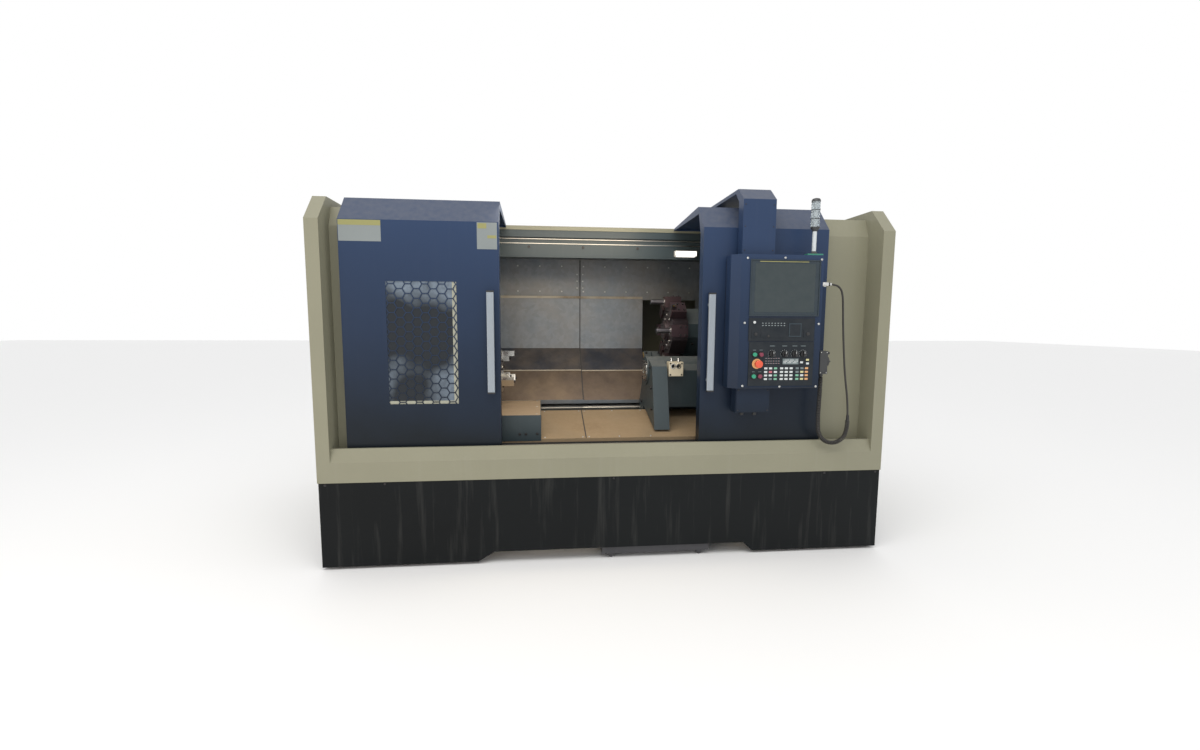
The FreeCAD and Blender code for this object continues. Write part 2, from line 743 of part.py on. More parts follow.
def rail_beam():
    top = REAR_ROOF - SHEET
    low = REAR_ROOF - BEAM_H
    path = [
        (BEAM_BACK, low),
        (BEAM_Y, low),
        (BEAM_Y, low + GROOVE_LOW),
        (BEAM_Y + GROOVE_DEEP, low + GROOVE_LOW),
        (BEAM_Y + GROOVE_DEEP, low + GROOVE_LOW + GROOVE_H),
        (BEAM_Y, low + GROOVE_LOW + GROOVE_H),
        (BEAM_Y, top),
        (BEAM_BACK, top),
        (BEAM_BACK, low + SHEET * 2),
    ]
    return folded(path, SHEET, LEFT + WING_W, RIGHT - WING_W)


def rear_cover():
    cover = block(LEFT, RIGHT, DEPTH - SHEET, DEPTH, SKIRT_TOP, WING_TOP)
    vents = []
    for x in (LEFT + VENT_LEFT_GAP, RIGHT - VENT_RIGHT_GAP):
        for row in range(VENT_ROWS):
            z = VENT_Z + row * VENT_PITCH
            vents.append(block(x, x + VENT_W, DEPTH - SHEET - 1, DEPTH + 1, z, z + VENT_H))
    return cover.cut(Part.makeCompound(vents))


# ---------------------------------------------------------------- chamber
def chamber_lining():
    """The two end walls and the two sheets of the back wall."""
    return chamber_walls() + splash_back()


def chamber_walls():
    panel = [(PANEL_Y, LEDGE_Z), (PANEL_Y, WING_TOP - PANEL_KNEE_DROP), (PANEL_RIDGE_Y, SIDE_ROOF)]
    front = offset_path(panel + [(ROOF_START_Y, SIDE_ROOF)], SHEET)
    top = [(BEAM_Y - BEAM_TUCK, SIDE_ROOF - SHEET), (BEAM_Y - BEAM_TUCK, BEAM_BOTTOM - 1)]
    chute = [(CHUTE_REAR_Y, CHUTE_REAR_Z - WALL_TUCK), (CHUTE_FRONT_Y, CHUTE_FRONT_Z - WALL_TUCK)]
    left_back = [(WALL_Y, BEAM_BOTTOM - 1), (WALL_Y, WALL_Y - 60), (COVER_LOW_Y - 20, COVER_LOW_Y - 40)]
    left = prism_x(front + top + left_back + chute, CHAMBER_LEFT, CHAMBER_LEFT + SHEET)
    left = left.cut(rod_x(CHAMBER_LEFT - 1, CHAMBER_LEFT + SHEET + 1, SPINDLE_Y, SPINDLE_Z, NOSE_HOLE_R))
    gap = RUN_GAP
    back_y = WALL_Y - COVER_STAND - gap - 1
    right_back = [
        (back_y, BEAM_BOTTOM - 1),
        (back_y, back_y + gap),
        (COVER_LOW_Y - 30, COVER_LOW_Y - 30 + gap),
        (COVER_LOW_Y - 30, CHUTE_REAR_Z - WALL_TUCK),
    ]
    right = prism_x(front + top + right_back + chute, CHAMBER_RIGHT, CHAMBER_RIGHT + SHEET)
    return [left, right]


def splash_back():
    path = [(WALL_Y, WALL_SEAM_Z - WALL_LAP), (WALL_Y, WALL_TOP), (BEAM_BACK, WALL_TOP)]
    seam = 2.0
    sheets = [
        folded(path, COVER_SHEET, CHAMBER_LEFT + SHEET, COVER_JOIN - seam / 2),
        folded(path, COVER_SHEET, COVER_JOIN + seam / 2, BED_RIGHT),
    ]
    return sheets


def cover_path(lift):
    knee_y = WALL_Y - COVER_STAND - lift
    return [
        (knee_y, WALL_SEAM_Z),
        (knee_y, COVER_KNEE_Z - COVER_STAND + lift * (math.sqrt(2) - 1)),
        (COVER_LOW_Y - lift / math.sqrt(2), COVER_LOW_Y + COVER_KNEE_Z - WALL_Y + lift / math.sqrt(2)),
        (COVER_LOW_Y - lift / math.sqrt(2), COVER_LOW_Y + COVER_KNEE_Z - WALL_Y - COVER_HEM),
    ]


def fixed_way_cover():
    return folded(cover_path(COVER_LIFT)[::-1], COVER_SHEET, CHAMBER_LEFT + SHEET, COVER_JOIN)


def sliding_way_covers():
    path = cover_path(0)[::-1]
    left = folded(path, COVER_SHEET, COVER_JOIN - COVER_LAP, SADDLE_LEFT)
    right = folded(path, COVER_SHEET, SADDLE_LEFT + SADDLE_W, CHAMBER_RIGHT - 10)
    return [left, right]


def chip_chute():
    path = [
        (CHUTE_FRONT_Y, CHUTE_FRONT_Z - CHUTE_EDGE),
        (CHUTE_FRONT_Y, CHUTE_FRONT_Z),
        (CHUTE_REAR_Y, CHUTE_REAR_Z),
        (CHUTE_REAR_Y, WAY_LEDGE_Z - CHUTE_DROP),
        (BED_SHELF_Y, WAY_LEDGE_Z - CHUTE_DROP),
    ]
    x0 = CHAMBER_LEFT + SHEET
    seam = COVER_JOIN - CHUTE_SEAM_GAP
    left = folded(path, COVER_SHEET, x0, seam)
    right = folded(path, COVER_SHEET, seam + CHUTE_SEAM, CHAMBER_RIGHT)
    return [left, right]


def chuck_guard():
    x0, x1 = CHAMBER_LEFT + SHEET, LEFT + GUARD_RIGHT_GAP
    top = GUARD_TOP
    hem = top - GUARD_HEM
    back = GUARD_BACK_Y
    front = CHUTE_FRONT_Y - SHEET
    low = CHUTE_FRONT_Z - 10
    outer = [(front, low), (front, top), (back, top), (back, hem), (GUARD_RETURN_Y, hem)]
    inner = offset_path(outer, SHEET)
    shell = prism_x(outer + inner[::-1], x0, x1)
    end = [(front, low + GUARD_HEM), (front, top), (back, top), (back, hem), (GUARD_END_Y, hem)]
    return join([shell, prism_x(end, x1 - SHEET, x1)])


# ---------------------------------------------------------------- doors
def door_path():
    return [
        (DOOR_Y, DOOR_BOTTOM),
        (DOOR_Y, DOOR_KNEE),
        (DOOR_RIDGE_Y, DOOR_RIDGE),
        (HOOD_END_Y, HOOD_END_Z),
        (HOOD_END_Y, HOOD_END_Z - HOOD_HEM),
    ]


def door_shell(x0, x1):
    path = door_path()
    skin = folded([(DOOR_Y + DOOR_T, DOOR_BOTTOM)] + path, SHEET, x0, x1)
    inside = [
        (HOOD_END_Y, HOOD_END_Z - HOOD_HEM),
        (DOOR_RIDGE_Y - DOOR_EDGE_SET, DOOR_RIDGE - DOOR_EDGE_DROP),
        (DOOR_Y + DOOR_T, DOOR_KNEE - DOOR_EDGE_KNEE),
        (DOOR_Y + DOOR_T, DOOR_BOTTOM),
    ]
    edges = [prism_x(path[:4] + inside, x, x + SHEET) for x in (x0, x1 - SHEET)]
    shell = join([skin] + edges)
    middle = DOOR_Y + DOOR_T / 2
    shoes = []
    for x in (x0 + SHOE_INSET, x1 - SHOE_INSET - SHOE_L):
        shoes.append(block(
            x, x + SHOE_L, middle - RAIL_W / 2, middle + RAIL_W / 2,
            LEDGE_Z + RAIL_H + SHOE_CLEAR, DOOR_BOTTOM + 1,
        ))
    return join([shell] + shoes)


def clip(points, axis, limit, keep_above):
    """The part of a convex outline on one side of a line."""
    result = []
    count = len(points)
    for index in range(count):
        a, b = points[index], points[(index + 1) % count]
        a_in = (a[axis] > limit) == keep_above
        b_in = (b[axis] > limit) == keep_above
        if a_in:
            result.append(a)
        if a_in != b_in:
            part = (limit - a[axis]) / (b[axis] - a[axis])
            result.append(tuple(a[i] + part * (b[i] - a[i]) for i in (0, 1)))
    return result


def window_cells(x0, x1, z0, z1):
    """Hexagons of the honeycomb, cut off square at the window's edges."""
    radius = (CELL_PITCH - CELL_WEB) / math.sqrt(3)
    column = CELL_PITCH * math.cos(math.radians(30))
    cells = []
    for i in range(int((x1 - x0) / column) + 3):
        for j in range(int((z1 - z0) / CELL_PITCH) + 3):
            x = x0 + (i - 0.4) * column
            z = z0 + (j - 0.3 + 0.5 * (i % 2)) * CELL_PITCH
            corners = [polar(radius, math.radians(60 * k)) for k in range(6)]
            cell = [(x + a, z + b) for a, b in corners]
            for axis, limit, above in ((0, x0, True), (0, x1, False), (1, z0, True), (1, z1, False)):
                if cell:
                    cell = clip(cell, axis, limit, above)
            if len(cell) > 2:
                spread_x = max(p[0] for p in cell) - min(p[0] for p in cell)
                spread_z = max(p[1] for p in cell) - min(p[1] for p in cell)
                if spread_x > 4 and spread_z > 4:
                    cells.append(cell)
    return cells


LEFT_DOOR_X = LEFT + LEFT_DOOR_GAP
LEFT_DOOR_END = LEFT_DOOR_X + LEFT_DOOR_W
RIGHT_DOOR_END = RIGHT - RIGHT_DOOR_GAP
RIGHT_DOOR_X = RIGHT_DOOR_END - RIGHT_DOOR_W
WINDOW_X = LEFT_DOOR_X + WINDOW_INSET
WINDOW_Z = DOOR_BOTTOM + WINDOW_LOW


def left_door_shell():
    shell = door_shell(LEFT_DOOR_X, LEFT_DOOR_END)
    cells = window_cells(WINDOW_X, WINDOW_X + WINDOW_W, WINDOW_Z, WINDOW_Z + WINDOW_H)
    holes = [prism_y(cell, DOOR_Y - 1, DOOR_Y + SHEET + 1) for cell in cells]
    return shell.cut(Part.makeCompound(holes))


def left_door_pane():
    y0 = DOOR_Y + SHEET
    return block(
        WINDOW_X - PANE_LAP, WINDOW_X + WINDOW_W + PANE_LAP, y0, y0 + PANE_T,
        WINDOW_Z - PANE_LAP, WINDOW_Z + WINDOW_H + PANE_LAP,
    )


def door_handle(x0):
    z0 = DOOR_BOTTOM + HANDLE_LOW
    y0 = DOOR_Y - HANDLE_STAND
    bar = block(x0, x0 + HANDLE_W, y0, y0 + HANDLE_T, z0, z0 + HANDLE_H)
    edges = [edge for edge in bar.Edges if abs(edge.tangentAt(edge.FirstParameter).z) > 0.9]
    bar = bar.makeFillet(HANDLE_FILLET, edges)
    posts = []
    for z in (z0 + POST_INSET, z0 + HANDLE_H - POST_INSET):
        posts.append(rod_y(x0 + HANDLE_W / 2, y0 + HANDLE_T, DOOR_Y, z, POST_R))
    return join([bar] + posts)


# ---------------------------------------------------------------- spindle
def headstock_casting():
    foot_low = slope(HEAD_U[0], BED_N)
    foot_high = slope(HEAD_U[1], BED_N)
    outline = [
        (SPINDLE_Y - HEAD_FRONT, SPINDLE_Z - HEAD_SIDE),
        (SPINDLE_Y - HEAD_FRONT, SPINDLE_Z + HEAD_SIDE),
        (SPINDLE_Y - HEAD_TOP_FRONT, SPINDLE_Z + HEAD_TOP),
        (SPINDLE_Y + HEAD_TOP_BACK, SPINDLE_Z + HEAD_TOP),
        (foot_high[0], foot_high[1] + HEAD_HEEL),
        foot_high,
        foot_low,
        (SPINDLE_Y + HEAD_TOE_Y, foot_low[1]),
        (SPINDLE_Y + HEAD_KNEE[0], SPINDLE_Z + HEAD_KNEE[1]),
    ]
    body = prism_x(outline, HEAD_LEFT, HEAD_RIGHT)
    cap = rod_x(HEAD_RIGHT - 1, HEAD_RIGHT + CAP_T, SPINDLE_Y, SPINDLE_Z, NOSE_HOLE_R - CAP_INSET)
    body = join([body, cap])
    bore = rod_x(HEAD_LEFT - 1, HEAD_RIGHT + CAP_T + 1, SPINDLE_Y, SPINDLE_Z, SPINDLE_R + SPINDLE_CLEAR)
    return body.cut(bore)


def spindle_shaft():
    shaft = rod_x(PULLEY_LEFT - SPINDLE_TAIL, CHUCK_PLATE_LEFT, SPINDLE_Y, SPINDLE_Z, SPINDLE_R)
    flange = rod_x(FLANGE_LEFT, CHUCK_PLATE_LEFT, SPINDLE_Y, SPINDLE_Z, SPINDLE_FLANGE_R)
    rims = []
    for x in (PULLEY_LEFT, PULLEY_RIGHT - RIM_T):
        rims.append(rod_x(x, x + RIM_T, SPINDLE_Y, SPINDLE_Z, SPINDLE_PULLEY_R + RIM_H))
    drum = rod_x(PULLEY_LEFT, PULLEY_RIGHT, SPINDLE_Y, SPINDLE_Z, SPINDLE_PULLEY_R)
    shaft = join([shaft, flange, drum] + rims)
    bore = rod_x(PULLEY_LEFT - SPINDLE_TAIL - 1, CHUCK_PLATE_LEFT + 1, SPINDLE_Y, SPINDLE_Z, SPINDLE_BORE_R)
    return shaft.cut(bore)


JAW_ANGLES = [90 + 360 / JAW_COUNT * index for index in range(JAW_COUNT)]


def turned_block(x0, x1, r0, r1, width, angle):
    """A block set radially on the spindle line at an angle from +Y."""
    piece = block(x0, x1, SPINDLE_Y + r0, SPINDLE_Y + r1, SPINDLE_Z - width / 2, SPINDLE_Z + width / 2)
    piece.rotate(V(0, SPINDLE_Y, SPINDLE_Z), V(1, 0, 0), angle)
    return piece


def chuck_body():
    body = rod_x(CHUCK_LEFT, CHUCK_FACE, SPINDLE_Y, SPINDLE_Z, CHUCK_R)
    edge = [e for e in body.Edges if e.BoundBox.XMin > CHUCK_FACE - 1 and e.BoundBox.YLength > 100]
    body = body.makeChamfer(CHUCK_CHAMFER, edge)
    plate = rod_x(CHUCK_PLATE_LEFT, CHUCK_LEFT, SPINDLE_Y, SPINDLE_Z, CHUCK_R - CHUCK_PLATE_INSET)
    body = join([body, plate])
    cuts = [rod_x(CHUCK_PLATE_LEFT - 1, CHUCK_FACE + 1, SPINDLE_Y, SPINDLE_Z, CHUCK_BORE_R)]
    for angle in JAW_ANGLES:
        slot_w = TONGUE_W + 2 * TONGUE_CLEAR
        depth = CHUCK_FACE - TONGUE_L - TONGUE_CLEAR
        cuts.append(turned_block(depth, CHUCK_FACE + 1, CHUCK_BORE_R + 8, CHUCK_R + 5, slot_w, angle))
    for cut in cuts:
        body = body.cut(cut)
    return body


def chuck_jaw(angle):
    lift = JAW_LIFT
    base = turned_block(CHUCK_FACE + lift, CHUCK_FACE + JAW_BASE_L, JAW_IN, JAW_OUT, JAW_W, angle)
    step = turned_block(CHUCK_FACE + lift, CHUCK_FACE + JAW_L, JAW_STEP, JAW_OUT, JAW_W, angle)
    tongue = turned_block(CHUCK_FACE - TONGUE_L, CHUCK_FACE + lift, JAW_IN, JAW_OUT - 4, TONGUE_W, angle)
    return join([base, step, tongue])


def spindle_motor():
    x0 = PULLEY_RIGHT + MOTOR_GAP
    body = rod_x(x0, x0 + MOTOR_L, MOTOR_Y, MOTOR_Z, MOTOR_R)
    fins = []
    for index in range(FIN_COUNT):
        fin = block(
            x0 + FIN_SPAN[0], x0 + MOTOR_L - FIN_SPAN[1], MOTOR_Y + MOTOR_R - 4, MOTOR_Y + MOTOR_R + FIN_H,
            MOTOR_Z - FIN_T / 2, MOTOR_Z + FIN_T / 2,
        )
        fin.rotate(V(0, MOTOR_Y, MOTOR_Z), V(1, 0, 0), 360 / FIN_COUNT * index)
        fins.append(fin)
    x1 = x0 + MOTOR_L - MOTOR_FOOT_INSET
    foot_z = MOTOR_Z - MOTOR_R - MOTOR_FOOT_DROP
    foot = block(
        x0 + MOTOR_FOOT_INSET, x1, MOTOR_Y - MOTOR_FOOT_W, MOTOR_Y + MOTOR_FOOT_W,
        foot_z, MOTOR_Z - MOTOR_R + 12,
    )
    beam = block(
        x0 + MOTOR_FOOT_INSET, x1, MOTOR_Y + 60, BED_FRONT_Y, foot_z, foot_z + MOTOR_BEAM_H
    )
    box_top = block(
        x0 + TERMINAL_X[0], x0 + TERMINAL_X[1], MOTOR_Y - TERMINAL_W / 2, MOTOR_Y + TERMINAL_W / 2,
        MOTOR_Z + MOTOR_R - 8, MOTOR_Z + MOTOR_R + TERMINAL_H,
    )
    return join([body, foot, beam, box_top] + fins).cut(
        rod_x(x0 - 1, x0 + MOTOR_SHAFT_IN, MOTOR_Y, MOTOR_Z, MOTOR_SHAFT_R + SPINDLE_CLEAR)
    )


def motor_pulley():
    drum = rod_x(PULLEY_LEFT, PULLEY_RIGHT, MOTOR_Y, MOTOR_Z, MOTOR_PULLEY_R)
    rims = []
    for x in (PULLEY_LEFT, PULLEY_RIGHT - RIM_T):
        rims.append(rod_x(x, x + RIM_T, MOTOR_Y, MOTOR_Z, MOTOR_PULLEY_R + RIM_H))
    shaft = rod_x(PULLEY_LEFT, PULLEY_RIGHT + MOTOR_GAP + MOTOR_SHAFT_IN - 2, MOTOR_Y, MOTOR_Z, MOTOR_SHAFT_R)
    return join([drum, shaft] + rims)


def drive_belt():
    x0 = PULLEY_LEFT + RIM_T + 1
    x1 = PULLEY_RIGHT - RIM_T - 1
    inner = BELT_GAP
    outer = BELT_GAP + BELT_T
    belt = belt_outline(
        SPINDLE_Y, SPINDLE_Z, SPINDLE_PULLEY_R + outer, MOTOR_Y, MOTOR_Z, MOTOR_PULLEY_R + outer, x0, x1
    )
    return belt.cut(belt_outline(
        SPINDLE_Y, SPINDLE_Z, SPINDLE_PULLEY_R + inner, MOTOR_Y, MOTOR_Z, MOTOR_PULLEY_R + inner,
        x0 - 1, x1 + 1,
    ))


# ---------------------------------------------------------------- carriage, cross slide and turret
def carriage_casting():
    outline = [
        slope(SADDLE_U[0], SADDLE_N[0]),
        slope(SADDLE_U[0], SADDLE_N[1]),
        slope(SADDLE_U[1], SADDLE_N[2]),
        slope(SADDLE_U[2], SADDLE_N[2]),
        slope(SADDLE_U[2], SADDLE_N[0]),
    ]
    saddle = prism_x(outline, SADDLE_LEFT, SADDLE_LEFT + SADDLE_W)
    for u in GUIDE_U:
        channel = [
            slope(u - GUIDE_W / 2 - GUIDE_CLEAR, SADDLE_N[0] - 1),
            slope(u - GUIDE_W / 2 - GUIDE_CLEAR, BED_N + GUIDE_H + GUIDE_CLEAR),
            slope(u + GUIDE_W / 2 + GUIDE_CLEAR, BED_N + GUIDE_H + GUIDE_CLEAR),
            slope(u + GUIDE_W / 2 + GUIDE_CLEAR, SADDLE_N[0] - 1),
        ]
        saddle = saddle.cut(prism_x(channel, SADDLE_LEFT - 1, SADDLE_LEFT + SADDLE_W + 1))
    return saddle


def cross_slide():
    base = [
        slope(SLIDE_U[0], SADDLE_N[2] + SLIDE_GAP),
        slope(SLIDE_U[0], SLIDE_N),
        slope(SLIDE_U[1], SLIDE_N),
        slope(SLIDE_U[1], SADDLE_N[2] + SLIDE_GAP),
    ]
    housing = [
        slope(HOUSING_U[0], SADDLE_N[2] + SLIDE_GAP),
        slope(HOUSING_U[0], HOUSING_N[1] - HOUSING_CORNER),
        slope(HOUSING_U[0] + HOUSING_CORNER, HOUSING_N[1]),
        slope(HOUSING_U[1] - HOUSING_CORNER, HOUSING_N[1]),
        slope(HOUSING_U[1], HOUSING_N[1] - HOUSING_CORNER),
        slope(HOUSING_U[1], HOUSING_N[0]),
        slope(SLIDE_U[1], SADDLE_N[2] + SLIDE_GAP),
    ]
    right = SADDLE_LEFT + SADDLE_W - SLIDE_INSET[1]
    low = prism_x(base, SADDLE_LEFT + SLIDE_INSET[0], right)
    tall = prism_x(housing, TURRET_RIGHT + HOUSING_GAP, right)
    boss = rod_x(TURRET_RIGHT - BOSS_L, TURRET_RIGHT + HOUSING_GAP + 1, TURRET_Y, TURRET_Z, TURRET_BORE_R)
    return join([low, tall, boss])


def on_turret(shape, station):
    """Turn a piece drawn at the front of the turret to its station."""
    shape.rotate(V(0, TURRET_Y, TURRET_Z), V(1, 0, 0), 45 + 360 / TURRET_STATIONS * station)
    return shape


def turret_disc():
    radius = TURRET_FLAT / math.cos(math.pi / TURRET_STATIONS)
    corners = []
    for index in range(TURRET_STATIONS):
        y, z = polar(radius, math.radians(45 + 360 / TURRET_STATIONS * (index + 0.5)))
        corners.append((TURRET_Y + y, TURRET_Z + z))
    disc = prism_x(corners, TURRET_LEFT, TURRET_RIGHT)
    hub = rod_x(TURRET_LEFT - HUB_T, TURRET_LEFT + 1, TURRET_Y, TURRET_Z, HUB_R)
    disc = join([disc, hub])
    bore_x = TURRET_RIGHT - BOSS_L - BOSS_END_CLEAR
    return disc.cut(
        rod_x(bore_x, TURRET_RIGHT + 1, TURRET_Y, TURRET_Z, TURRET_BORE_R + TURRET_CLEAR)
    )


# Stations run round from the one that points up the slope; the one that faces
# the spindle line is left empty.
TOOL_STATIONS = (0, 2, 6)
BAR_STATIONS = (1, 3, 5, 7)


def tool_blocks():
    blocks = []
    x0 = TURRET_LEFT + (TURRET_T - BLOCK_W) / 2
    for station in TOOL_STATIONS:
        y0 = TURRET_Y + TURRET_FLAT
        body = block(
            x0 - HOLDER_REACH, x0 + BLOCK_W - HOLDER_TRIM, y0, y0 + HOLDER_H,
            TURRET_Z - BLOCK_L / 2, TURRET_Z + BLOCK_L / 2,
        )
        slot = block(
            x0 - HOLDER_REACH - 1, x0 - HOLDER_REACH + TOOL_SIZE, y0 - 1, y0 + HOLDER_H + 1,
            TURRET_Z - SHANK_LOW, TURRET_Z + TOOL_SIZE - SHANK_LOW,
        )
        blocks.append(on_turret(body.cut(slot), station))
    for station in BAR_STATIONS:
        y0 = TURRET_Y + TURRET_FLAT
        body = block(
            x0 - BAR_HOLDER_REACH, x0 + BLOCK_W - HOLDER_TRIM, y0, y0 + 2 * BLOCK_H - HOLDER_TRIM,
            TURRET_Z - BAR_HOLDER_W / 2, TURRET_Z + BAR_HOLDER_W / 2,
        )
        hole = rod_x(
            x0 - BAR_HOLDER_REACH - 1, x0 + BLOCK_W - HOLDER_TRIM + 1, y0 + BLOCK_H - HOLDER_TRIM / 2,
            TURRET_Z, BAR_R,
        )
        blocks.append(on_turret(body.cut(hole), station))
    return blocks


def cutting_tools():
    tools = []
    x0 = TURRET_LEFT + (TURRET_T - BLOCK_W) / 2
    for station in TOOL_STATIONS:
        y0 = TURRET_Y + TURRET_FLAT
        y1 = TURRET_Y + TOOL_REACH
        left = x0 - HOLDER_REACH
        top = TURRET_Z + TOOL_SIZE - SHANK_LOW
        shank = block(left, left + TOOL_SIZE, y0, y1 - TIP_L, TURRET_Z - SHANK_LOW, top)
        tip = prism_z([
            (left, y1 - TIP_L), (left - 6, y1 - 6), (left - 4, y1), (left + 8, y1 - 4),
            (left + 18, y1 - TIP_L),
        ], top - TIP_T, top)
        tools.append(on_turret(join([shank, tip]), station))
    for station in BAR_STATIONS[:2]:
        y0 = TURRET_Y + TURRET_FLAT + BLOCK_H - HOLDER_TRIM / 2
        bar = rod_x(x0 - BAR_L, x0 + BLOCK_W - 2 * HOLDER_TRIM, y0, TURRET_Z, BAR_R)
        tools.append(on_turret(bar, station))
    return tools


# ---------------------------------------------------------------- tailstock
def tailstock_casting():
    chute_rise = (CHUTE_REAR_Z - CHUTE_FRONT_Z) / (CHUTE_REAR_Y - CHUTE_FRONT_Y)
    toe_z = CHUTE_FRONT_Z + RUN_GAP + (TAIL_TOE_Y - CHUTE_FRONT_Y) * chute_rise
    front_low = (TAIL_TOE_Y, toe_z)
    foot_y = TAIL_FOOT_Y
    foot_z = WAY_LEDGE_Z + TAIL_CLEAR
    shelf = (TAIL_SHELF_Y, CHUTE_REAR_Z + RUN_GAP + 4)
    back = [(foot_y[1], SPINDLE_Z - 210), (640.0, SPINDLE_Z - 70), (590.0, SPINDLE_Z + 50)]
    leg = [
        (foot_y[0], foot_z), (foot_y[0], shelf[1]), shelf, front_low,
        (350.0, SPINDLE_Z + 39), (440.0, SPINDLE_Z + 70),
    ] + back[::-1] + [(foot_y[1], foot_z)]
    body = [
        (foot_y[0], foot_z), (foot_y[0], shelf[1]), (410.0, shelf[1] + 20),
        (400.0, SPINDLE_Z + 10), (450.0, SPINDLE_Z + 50),
    ] + back[::-1] + [(foot_y[1], foot_z)]
    leg_solid = prism_x(leg, TAIL_LEFT, TAIL_LEFT + TAIL_LEG_W)
    body_solid = prism_x(body, TAIL_LEFT + TAIL_LEG_W - 1, TAIL_LEFT + TAIL_L)
    barrel = rod_x(
        TAIL_LEFT - TAIL_BARREL_NOSE, TAIL_LEFT + TAIL_L + TAIL_BARREL_TAIL, SPINDLE_Y, SPINDLE_Z,
        TAIL_BARREL_R,
    )
    casting = join([leg_solid, body_solid, barrel])
    bore = rod_x(
        TAIL_LEFT - TAIL_BARREL_NOSE - 1, TAIL_LEFT + QUILL_L + TAIL_BARREL_TAIL, SPINDLE_Y, SPINDLE_Z,
        QUILL_R + QUILL_CLEAR,
    )
    return casting.cut(bore)


def tailstock_manifold():
    x0 = TAIL_LEFT + TAIL_LEG_W + MANIFOLD_GAP
    front, back = MANIFOLD_Y
    body = block(x0, x0 + MANIFOLD_W, front, back, SPINDLE_Z - MANIFOLD_LOW, SPINDLE_Z + MANIFOLD_HIGH)
    for across in PORT_X:
        body = body.cut(rod_y(x0 + across, front - 1, front + PORT_DEEP, SPINDLE_Z + PORT_RISE, PORT_R))
    return body


def tailstock_quill():
    x0 = TAIL_LEFT - TAIL_BARREL_NOSE - QUILL_NOSE
    quill = rod_x(x0, x0 + QUILL_L, SPINDLE_Y, SPINDLE_Z, QUILL_R)
    edge = [e for e in quill.Edges if e.BoundBox.XMax < x0 + 1]
    quill = quill.makeChamfer(QUILL_CHAMFER, edge)
    taper = Part.makeCone(TAPER_BIG_R, TAPER_SMALL_R, TAPER_L, V(x0 - 0.01, SPINDLE_Y, SPINDLE_Z), V(1, 0, 0))
    return quill.cut(taper)


# ---------------------------------------------------------------- console
DUCT_LEFT = RIGHT - DUCT_LEFT_GAP
PANEL_LEFT = CONSOLE_RIGHT - PANEL_GAP[0]
PANEL_RIGHT = CONSOLE_RIGHT - PANEL_GAP[1]
BUTTON_PLACES = [
    (PANEL_LEFT + across, z) for across, z in ((30, 1105.0), (65, 1105.0), (28, 992.0), (62, 992.0))
]
KNOB_PLACES = [(PANEL_LEFT + across, 1108.0) for across in (125.0, 192.0, 247.0, 293.0)]
STOP_PLACE = (PANEL_LEFT + 45.0, 1057.0)
SCREEN = (PANEL_LEFT - 5, PANEL_RIGHT + 18, 1303.0, 1590.0)
SOFT_KEYS = (PANEL_LEFT - 5, PANEL_RIGHT - 1, 1176.0, 1293.0)
KEY_PANEL = (PANEL_LEFT, PANEL_RIGHT, 942.0, 1170.0)


def console_housing():
    left, right = CONSOLE_LEFT, CONSOLE_RIGHT
    chamfer = CONSOLE_CHAMFER
    outer = [
        (right, CONSOLE_FRONT), (left + chamfer, CONSOLE_FRONT), (left, CONSOLE_FRONT + chamfer),
        (left, CONSOLE_BACK), (right, CONSOLE_BACK),
    ]
    turn = SHEET * math.tan(math.radians(22.5))
    inner = [
        (right - SHEET, CONSOLE_FRONT + SHEET), (left + chamfer + turn, CONSOLE_FRONT + SHEET),
        (left + SHEET, CONSOLE_FRONT + chamfer + turn), (left + SHEET, CONSOLE_BACK - SHEET),
        (right - SHEET, CONSOLE_BACK - SHEET),
    ]
    box = prism_z(outer, CONSOLE_BOTTOM, CONSOLE_TOP)
    box = box.cut(prism_z(inner, CONSOLE_BOTTOM + SHEET, CONSOLE_TOP - SHEET))
    cable_way = block(
        DUCT_LEFT + CABLE_WAY_IN, DUCT_LEFT + DUCT_W - CABLE_WAY_IN,
        DUCT_FRONT + CABLE_WAY_SET, CONSOLE_BACK - CABLE_WAY_SET,
        CONSOLE_TOP - SHEET - 1, CONSOLE_TOP + 1,
    )
    cuts = [cable_way]
    for x0, x1, z0, z1 in (SCREEN, SOFT_KEYS, KEY_PANEL):
        inset = BODY_INSET - CUT_GAP
        cuts.append(block(
            x0 + inset, x1 - inset, CONSOLE_FRONT - 1, CONSOLE_FRONT + SHEET + 1, z0 + inset, z1 - inset
        ))
    for cut in cuts:
        box = box.cut(cut)
    return box


def faced_unit(x0, x1, z0, z1):
    """A face plate on the console with its body behind it."""
    plate = block(x0, x1, PANEL_FACE, CONSOLE_FRONT, z0, z1)
    inset = BODY_INSET
    body = block(
        x0 + inset, x1 - inset, CONSOLE_FRONT - 1, CONSOLE_FRONT + BODY_DEPTH, z0 + inset, z1 - inset
    )
    return join([plate, body])


def display_unit():
    x0, x1, z0, z1 = SCREEN
    unit = faced_unit(x0, x1, z0, z1)
    rim = SCREEN_RIM
    screen = block(x0 + rim, x1 - rim, PANEL_FACE - 1, PANEL_FACE + SCREEN_RECESS, z0 + rim, z1 - rim)
    return unit.cut(screen)


def operator_panel():
    keys = faced_unit(*KEY_PANEL)
    cuts = []
    for x, z in BUTTON_PLACES:
        end = PANEL_FACE + BUTTON_DEEP + BUTTON_STROKE
        cuts.append(rod_y(x, PANEL_FACE - 1, end, z, BUTTON_R + BUTTON_GAP))
    for x, z in KNOB_PLACES:
        cuts.append(rod_y(x, PANEL_FACE - 1, PANEL_FACE + BUTTON_DEEP + 1, z, KNOB_STEM_R + STEM_CLEAR))
    cuts.append(rod_y(
        STOP_PLACE[0], PANEL_FACE - 1, PANEL_FACE + BUTTON_DEEP + STOP_STROKE, STOP_PLACE[1],
        STOP_STEM_R + STEM_CLEAR,
    ))
    return [faced_unit(*SOFT_KEYS), keys.cut(Part.makeCompound(cuts))]


